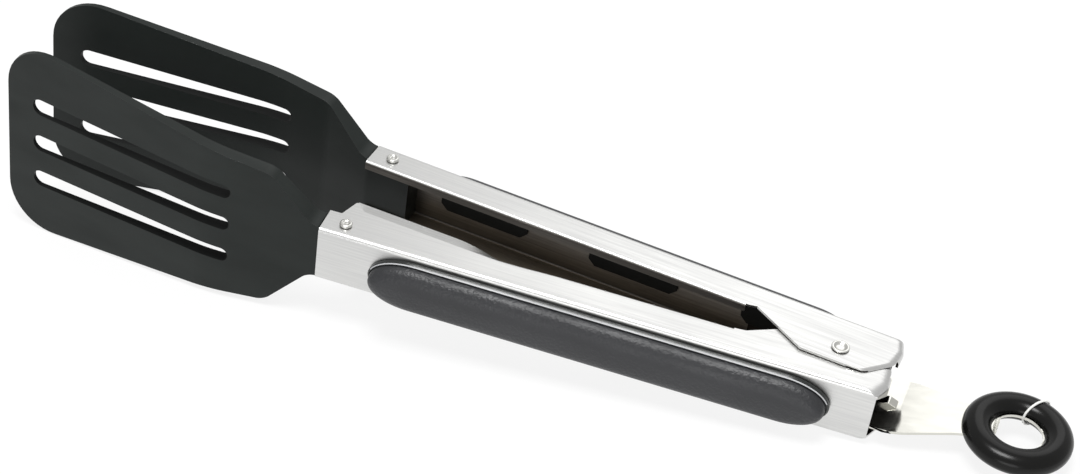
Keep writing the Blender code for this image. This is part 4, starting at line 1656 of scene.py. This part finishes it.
@dataclass
class LockPlate:
    """The flat plate that slides between the arms' rear ends, in millimetres."""

    thickness: float = 1.0
    drop: float = 4.5
    front: float = 8.0
    nose_half: float = 8.0
    wing: tuple[float, float] = (6.0, 11.0)
    wing_half: float = 12.75
    corner: float = 24.6
    joggle: tuple[float, float] = (20.0, 49.5)
    bend: float = 3.0
    bend_angles: tuple[float, float] = (0.05, 1.0)
    bend_steps: int = 8
    neck: tuple[float, float] = (43.4, 7.2)
    eye: float = 7.9
    eye_steps: int = 64
    rim: float = 2.75
    rim_steps: int = 48
    travel: float = 8.0
    slot_steps: int = 14
    cut_reach: float = 9.0
    edge_round: float = 0.16
    tab: tuple[float, float, float] = (13.5, 18.7, 21.6)
    tab_half: float = 1.8
    tab_rise: float = 1.8
    tab_toe: float = 0.4
    tab_heel: float = 1.0
    tab_foot: float = 0.25
    tab_fall_share: float = 0.6
    tab_rounds: tuple[float, float, float] = (0.5, 1.4, 0.3)
    tab_steps: int = 4
    tab_round: float = 0.2

    def fold(self, bm: bmesh.types.BMesh) -> None:
        """Fold the plate down in front of its joggle and up behind it.

        Args:
            bm: Mesh of the flat plate.
        """
        for bend in self.joggle:
            bmesh.ops.bisect_plane(bm, geom=bm.verts[:] + bm.edges[:] + bm.faces[:], dist=WELD,
                                   plane_co=(bend, 0, 0), plane_no=(1, 0, 0))
        start, end = self.joggle
        climb = self.drop + EYE_LIFT
        lean = Matrix.Identity(4)
        lean[2][0] = climb / (end - start)
        slope = [v for v in bm.verts if start + WELD < v.co.x < end + WELD]
        beyond = [v for v in bm.verts if v.co.x > end + WELD]
        bmesh.ops.transform(bm, verts=slope, matrix=lean,
                            space=Matrix.Translation((-start, 0, 0)))
        bmesh.ops.translate(bm, verts=beyond, vec=(0, 0, climb))
        bmesh.ops.translate(bm, verts=bm.verts, vec=(0, 0, -self.drop))
        least, most = self.bend_angles
        bends = [edge for edge in bm.edges if edge.is_manifold
                 and least < edge.calc_face_angle(0) < most
                 and abs(edge.verts[0].co.x - edge.verts[1].co.x) < WELD]
        bmesh.ops.bevel(bm, geom=bends, offset=self.bend, offset_type="OFFSET",
                        segments=self.bend_steps, profile=0.5, affect="EDGES", material=-1)

    def stop_tab(self) -> bpy.types.Object:
        """The small tongue lanced up from the plate.

        Returns:
            The tongue as a closed body.
        """
        low = -self.drop
        start, peak, end = self.tab
        toe_round, peak_round, end_round = self.tab_rounds
        face = low + self.thickness / 2
        top = face + self.tab_rise
        outline = polygon([(start, low, 0), (start + self.tab_toe, face, toe_round),
                           (peak, top, peak_round),
                           (end, top - self.tab_rise * self.tab_fall_share, end_round),
                           (end, face - self.tab_foot, 0), (end - self.tab_heel, low, 0)],
                          self.tab_steps)
        tab = outline.prism("tab", -self.tab_half, self.tab_half, Plane.FACE)
        soften(tab, self.tab_round, segments=2, degrees=40)
        return tab

    def build(self) -> bpy.types.Object:
        """Blank, pierce, fold and tumble the plate.

        Returns:
            The plate.
        """
        radius = self.eye + self.rim
        neck, neck_half = self.neck
        meet = math.degrees(math.asin(neck_half / radius))
        at_neck = EYE_CENTRE - radius * math.cos(math.radians(meet))
        edge = [(-self.front, self.nose_half), (self.wing[0], self.nose_half),
                (self.wing[1], self.wing_half), (self.corner, self.wing_half),
                (neck, neck_half), (at_neck, neck_half)]
        outline = Outline(edge[0]).to(*edge[1:])
        outline.bend((EYE_CENTRE, 0), -(360 - 2 * meet), self.rim_steps)
        outline.to(*[(x, -y) for x, y in edge[-2::-1]])
        half = self.thickness / 2
        plate = outline.prism("plate", -half, half, Plane.PLAN)
        slot = Outline((0, PIVOT_BORE))
        slot.bend((0, 0), 180, self.slot_steps)
        slot.to((self.travel, -PIVOT_BORE))
        slot.bend((self.travel, 0), 180, self.slot_steps)
        combine(plate, slot.prism("rivet_slot", -self.cut_reach, self.cut_reach, Plane.PLAN),
                "DIFFERENCE")
        combine(plate, cylinder("eye", (EYE_CENTRE, 0), self.eye, self.cut_reach,
                                self.eye_steps), "DIFFERENCE")
        reshape(plate, tidy_faces)
        reshape(plate, self.fold)
        soften(plate, self.edge_round, segments=2, degrees=50)
        combine(plate, self.stop_tab(), "UNION")
        piece = Piece("sliding_lock_plate", "lock_plate", Side.MIDDLE, Body.TAB, Slot.PLATE)
        deliver(plate, piece, [BRIGHT_STAINLESS.material(Side.MIDDLE)], sharp=34)
        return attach(plate, piece.body.value)


@dataclass
class PullRing:
    """The rubber ring moulded around the plate's eye, in millimetres."""

    radius: float = 12.8
    half_width: float = 4.6
    half_height: float = 3.9
    groove: float = 0.8
    depth: float = 10.95
    passage_half: float = 7.4
    passage_slope: float = 0.19
    passage_start: float = 9.3
    seam: float = 0.07
    seam_width: float = 0.02
    ring_steps: int = 112
    tube_steps: int = 44

    def build(self) -> bpy.types.Object:
        """Turn the ring, with its parting line and the groove for the eye.

        Returns:
            The ring.
        """
        mouth = math.degrees(math.asin(self.groove / self.half_height))
        lip = self.radius - self.half_height * math.cos(math.radians(mouth))
        outline = Outline((lip, self.groove))
        outline.to((self.depth, self.groove), (self.depth, -self.groove), (lip, -self.groove))
        outline.bend((self.radius, 0), 360 - 2 * mouth, self.tube_steps)
        outline.face()
        bm = outline.bm
        bmesh.ops.delete(bm, geom=bm.faces[:], context="FACES_ONLY")
        tube = [v for v in bm.verts
                if abs(v.co.x - self.depth) > WELD or abs(v.co.y) > self.groove + WELD]
        bmesh.ops.scale(bm, vec=(self.half_width / self.half_height, 1, 1), verts=tube,
                        space=Matrix.Translation((-self.radius, 0, 0)))
        rim = self.radius + self.half_width
        outer = [v for v in bm.verts if v.co.x > rim - self.seam_width]
        bmesh.ops.translate(bm, verts=outer, vec=(-self.seam, 0, 0))
        bmesh.ops.transform(bm, verts=bm.verts, matrix=STANDING)
        revolve(bm, self.ring_steps)
        ring = make_object("ring", bm)
        width = self.passage_half
        passage = Outline((-self.passage_start, -width))
        passage.to((-self.passage_start, width), (-rim - OVERRUN, width),
                   (-rim - OVERRUN, -width))
        tool = passage.prism("passage", -self.groove, self.groove, Plane.PLAN)
        lean = Matrix.Identity(4)
        lean[2][0] = self.passage_slope
        lean[2][3] = self.passage_slope * self.passage_start
        tool.data.transform(lean)
        combine(ring, tool, "DIFFERENCE")
        ring.data.transform(Matrix.Translation((EYE_CENTRE, 0, EYE_LIFT)))
        piece = Piece("rubber_pull_ring", "pull_ring", Side.MIDDLE, Body.TAB, Slot.RING)
        deliver(ring, piece, [RING_RUBBER.material(Side.MIDDLE)], sharp=40, weighted=False)
        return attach(ring, piece.body.value)


@dataclass
class TagLoop:
    """The thin thread loop around the ring's tube, in millimetres."""

    ring: PullRing
    thread: float = 0.4
    play: float = 0.06
    bearing: float = 75.0
    skew: float = 21.0
    steps: int = 72

    def build(self) -> bpy.types.Object:
        """Close the thread around the ring.

        Returns:
            The loop.
        """
        ring = self.ring
        across = (ring.half_width + self.play + self.thread) / math.cos(math.radians(self.skew))
        upright = ring.half_height + self.play + self.thread
        bearing = math.radians(self.bearing)
        heading = math.radians(self.bearing - self.skew)
        centre = Vector((EYE_CENTRE + ring.radius * math.cos(bearing),
                         ring.radius * math.sin(bearing), EYE_LIFT))
        run = Vector((math.cos(heading), math.sin(heading), 0))
        route = []
        for i in range(self.steps):
            angle = 2 * math.pi * i / self.steps
            route.append(centre + run * across * math.cos(angle)
                         + Vector((0, 0, upright * math.sin(angle))))
        loop = wire("tag", route, self.thread, cyclic=True)
        piece = Piece("tag_thread", "tag_loop", Side.MIDDLE, Body.TAB, Slot.TAG)
        deliver(loop, piece, [TAG_FILAMENT.material(Side.MIDDLE)], sharp=60, weighted=False)
        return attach(loop, piece.body.value)


# Studio

@dataclass(frozen=True)
class Lamp:
    """A soft lamp that faces the tongs: bearing from +X towards +Y, sizes in metres."""

    name: str
    azimuth: float
    elevation: float
    distance: float
    size: tuple[float, float]
    radiance: float

    def build(self) -> None:
        """Hang the lamp. A radiance of 1 is white."""
        data = bpy.data.lights.new(self.name, "AREA")
        data.shape = "RECTANGLE"
        data.size, data.size_y = self.size
        data.energy = self.radiance * math.pi * self.size[0] * self.size[1]
        lamp = bpy.data.objects.new(self.name, data)
        bpy.context.scene.collection.objects.link(lamp)
        a, e = math.radians(self.azimuth), math.radians(self.elevation)
        way = Vector((math.cos(a) * math.cos(e), math.sin(a) * math.cos(e), math.sin(e)))
        lamp.matrix_world = (Matrix.Translation(way * self.distance)
                             @ way.to_track_quat("Z", "Y").to_matrix().to_4x4())


@dataclass(frozen=True)
class Studio:
    """Pale floor, white surround, soft lamps and the photo's camera."""

    lamps: tuple[Lamp, ...] = (
        Lamp("rear_softbox", azimuth=82, elevation=46, distance=1.6, size=(0.9, 1.0),
             radiance=1.03),
        Lamp("top_lamp", azimuth=-84, elevation=78, distance=1.3, size=(0.5, 0.42),
             radiance=17.0),
        Lamp("front_softbox", azimuth=-82, elevation=14, distance=1.5, size=(0.9, 0.42),
             radiance=2.9))
    eye: tuple[float, float, float] = (58.644, -590.34, 504.473)
    gaze: tuple[float, float, float] = (51.0104, -6.8974, 20.652)
    lens: float = 82.376
    sensor: float = 36.0
    clip: tuple[float, float] = (0.05, 50.0)
    floor_size: float = 6.0
    card: str = "#fafafa"
    card_roughness: float = 0.9
    card_glow: float = 0.84
    surround: float = 0.62

    def camera(self) -> None:
        """Set the camera where the photo was taken from."""
        data = bpy.data.cameras.new("camera")
        data.sensor_fit = "HORIZONTAL"
        data.sensor_width = self.sensor
        data.lens = self.lens
        data.clip_start, data.clip_end = self.clip
        camera = bpy.data.objects.new("camera", data)
        bpy.context.scene.collection.objects.link(camera)
        turn = Euler([math.radians(a) for a in self.gaze], "XYZ").to_matrix().to_4x4()
        tongs = REST.turn(Side.MIDDLE)
        place = Matrix.Translation((Vector(REST.pivot) + tongs @ Vector(self.eye)) * MM)
        camera.matrix_world = place @ tongs @ turn
        bpy.context.scene.camera = camera

    def world(self) -> None:
        """Set the even pale surround."""
        world = bpy.data.worlds.new("surround")
        bpy.context.scene.world = world
        world.use_nodes = True
        background = world.node_tree.nodes["Background"]
        background.inputs["Color"].default_value = (1, 1, 1, 1)
        background.inputs["Strength"].default_value = self.surround

    def floor(self) -> None:
        """Lay the white card, which glows a little for the eye and for the steel."""
        bm = bmesh.new()
        bmesh.ops.create_grid(bm, x_segments=1, y_segments=1, size=self.floor_size / 2)
        floor = make_object("floor", bm, close=False)
        material = bpy.data.materials.new("white_card")
        material.use_nodes = True
        tree = material.node_tree
        shader = tree.nodes["Principled BSDF"]
        shader.inputs["Base Color"].default_value = linear(self.card)
        shader.inputs["Roughness"].default_value = self.card_roughness
        shader.inputs["Specular IOR Level"].default_value = 0.0
        path = add_node(tree, "ShaderNodeLightPath")
        seen = add_node(tree, "ShaderNodeMath", {
            0: path.outputs["Is Camera Ray"], 1: path.outputs["Is Glossy Ray"]},
            operation="MAXIMUM")
        seen = add_node(tree, "ShaderNodeMath", {
            0: seen.outputs[0], 1: path.outputs["Is Transmission Ray"]}, operation="MAXIMUM")
        share = add_node(tree, "ShaderNodeMath", {
            0: seen.outputs[0], 1: self.card_glow}, operation="MULTIPLY")
        glow = add_node(tree, "ShaderNodeEmission", {"Color": (1, 1, 1, 1), "Strength": 1.0})
        mix = add_node(tree, "ShaderNodeMixShader", {
            0: share.outputs[0], 1: shader.outputs[0], 2: glow.outputs[0]})
        tree.links.new(mix.outputs[0], tree.nodes["Material Output"].inputs["Surface"])
        floor.data.materials.append(material)

    def build(self) -> None:
        """Set up the whole studio."""
        self.floor()
        self.world()
        for lamp in self.lamps:
            lamp.build()
        self.camera()
        bpy.context.scene.view_settings.view_transform = "Standard"


def main() -> None:
    """Build every piece in order, then the studio."""
    logging.basicConfig(level=logging.INFO, format="%(name)s: %(message)s")
    near = PressedArm(Side.NEAR, height=20.4, edge=3.5, relief=0.0, lip=6.4, wide_nose=True,
                      ear_turn=(-17.9, -0.4, 7.5), ear_shoulder=(9.0, -15.2, 1.6),
                      shoulder_share=1.0)
    far = PressedArm(Side.FAR, height=22.6, edge=3.7, relief=1.0, lip=3.2, wide_nose=False,
                     ear_turn=(-18.2, 2.4, 7.0), ear_shoulder=(9.5, -16.7, 1.2),
                     shoulder_share=0.6)
    grips = (Grip(Side.NEAR, fullness=(2.1, 4.0), sink=0.4), Grip(Side.FAR))
    for arm, grip in zip((near, far), grips):
        arm.build(grip)
        grip.build_base()
        grip.build_pad()
        TurnerBlade(arm.side, arm.height).build()
        piece = Piece.of_side(arm.side, "blade_rivet", "head_rivet", Slot.RIVET)
        Rivet(piece, HEAD_RIVET, radius=1.4, cap=2.1, rise=0.9, height=arm.height, dish=1.2,
              dish_depth=0.35, nub=0.12).build()
    pivot = Piece("hollow_pivot_rivet", "pivot_rivet", Side.MIDDLE, Body.PIVOT, Slot.RIVET)
    Rivet(pivot, (0.0, 0.0), radius=2.0, cap=2.9, rise=0.5, height=far.height, dish=2.1,
          dish_depth=0.7).build()
    TorsionSpring().build()
    LockPlate().build()
    ring = PullRing()
    ring.build()
    TagLoop(ring).build()
    Studio().build()


if __name__ == "__main__":
    main()
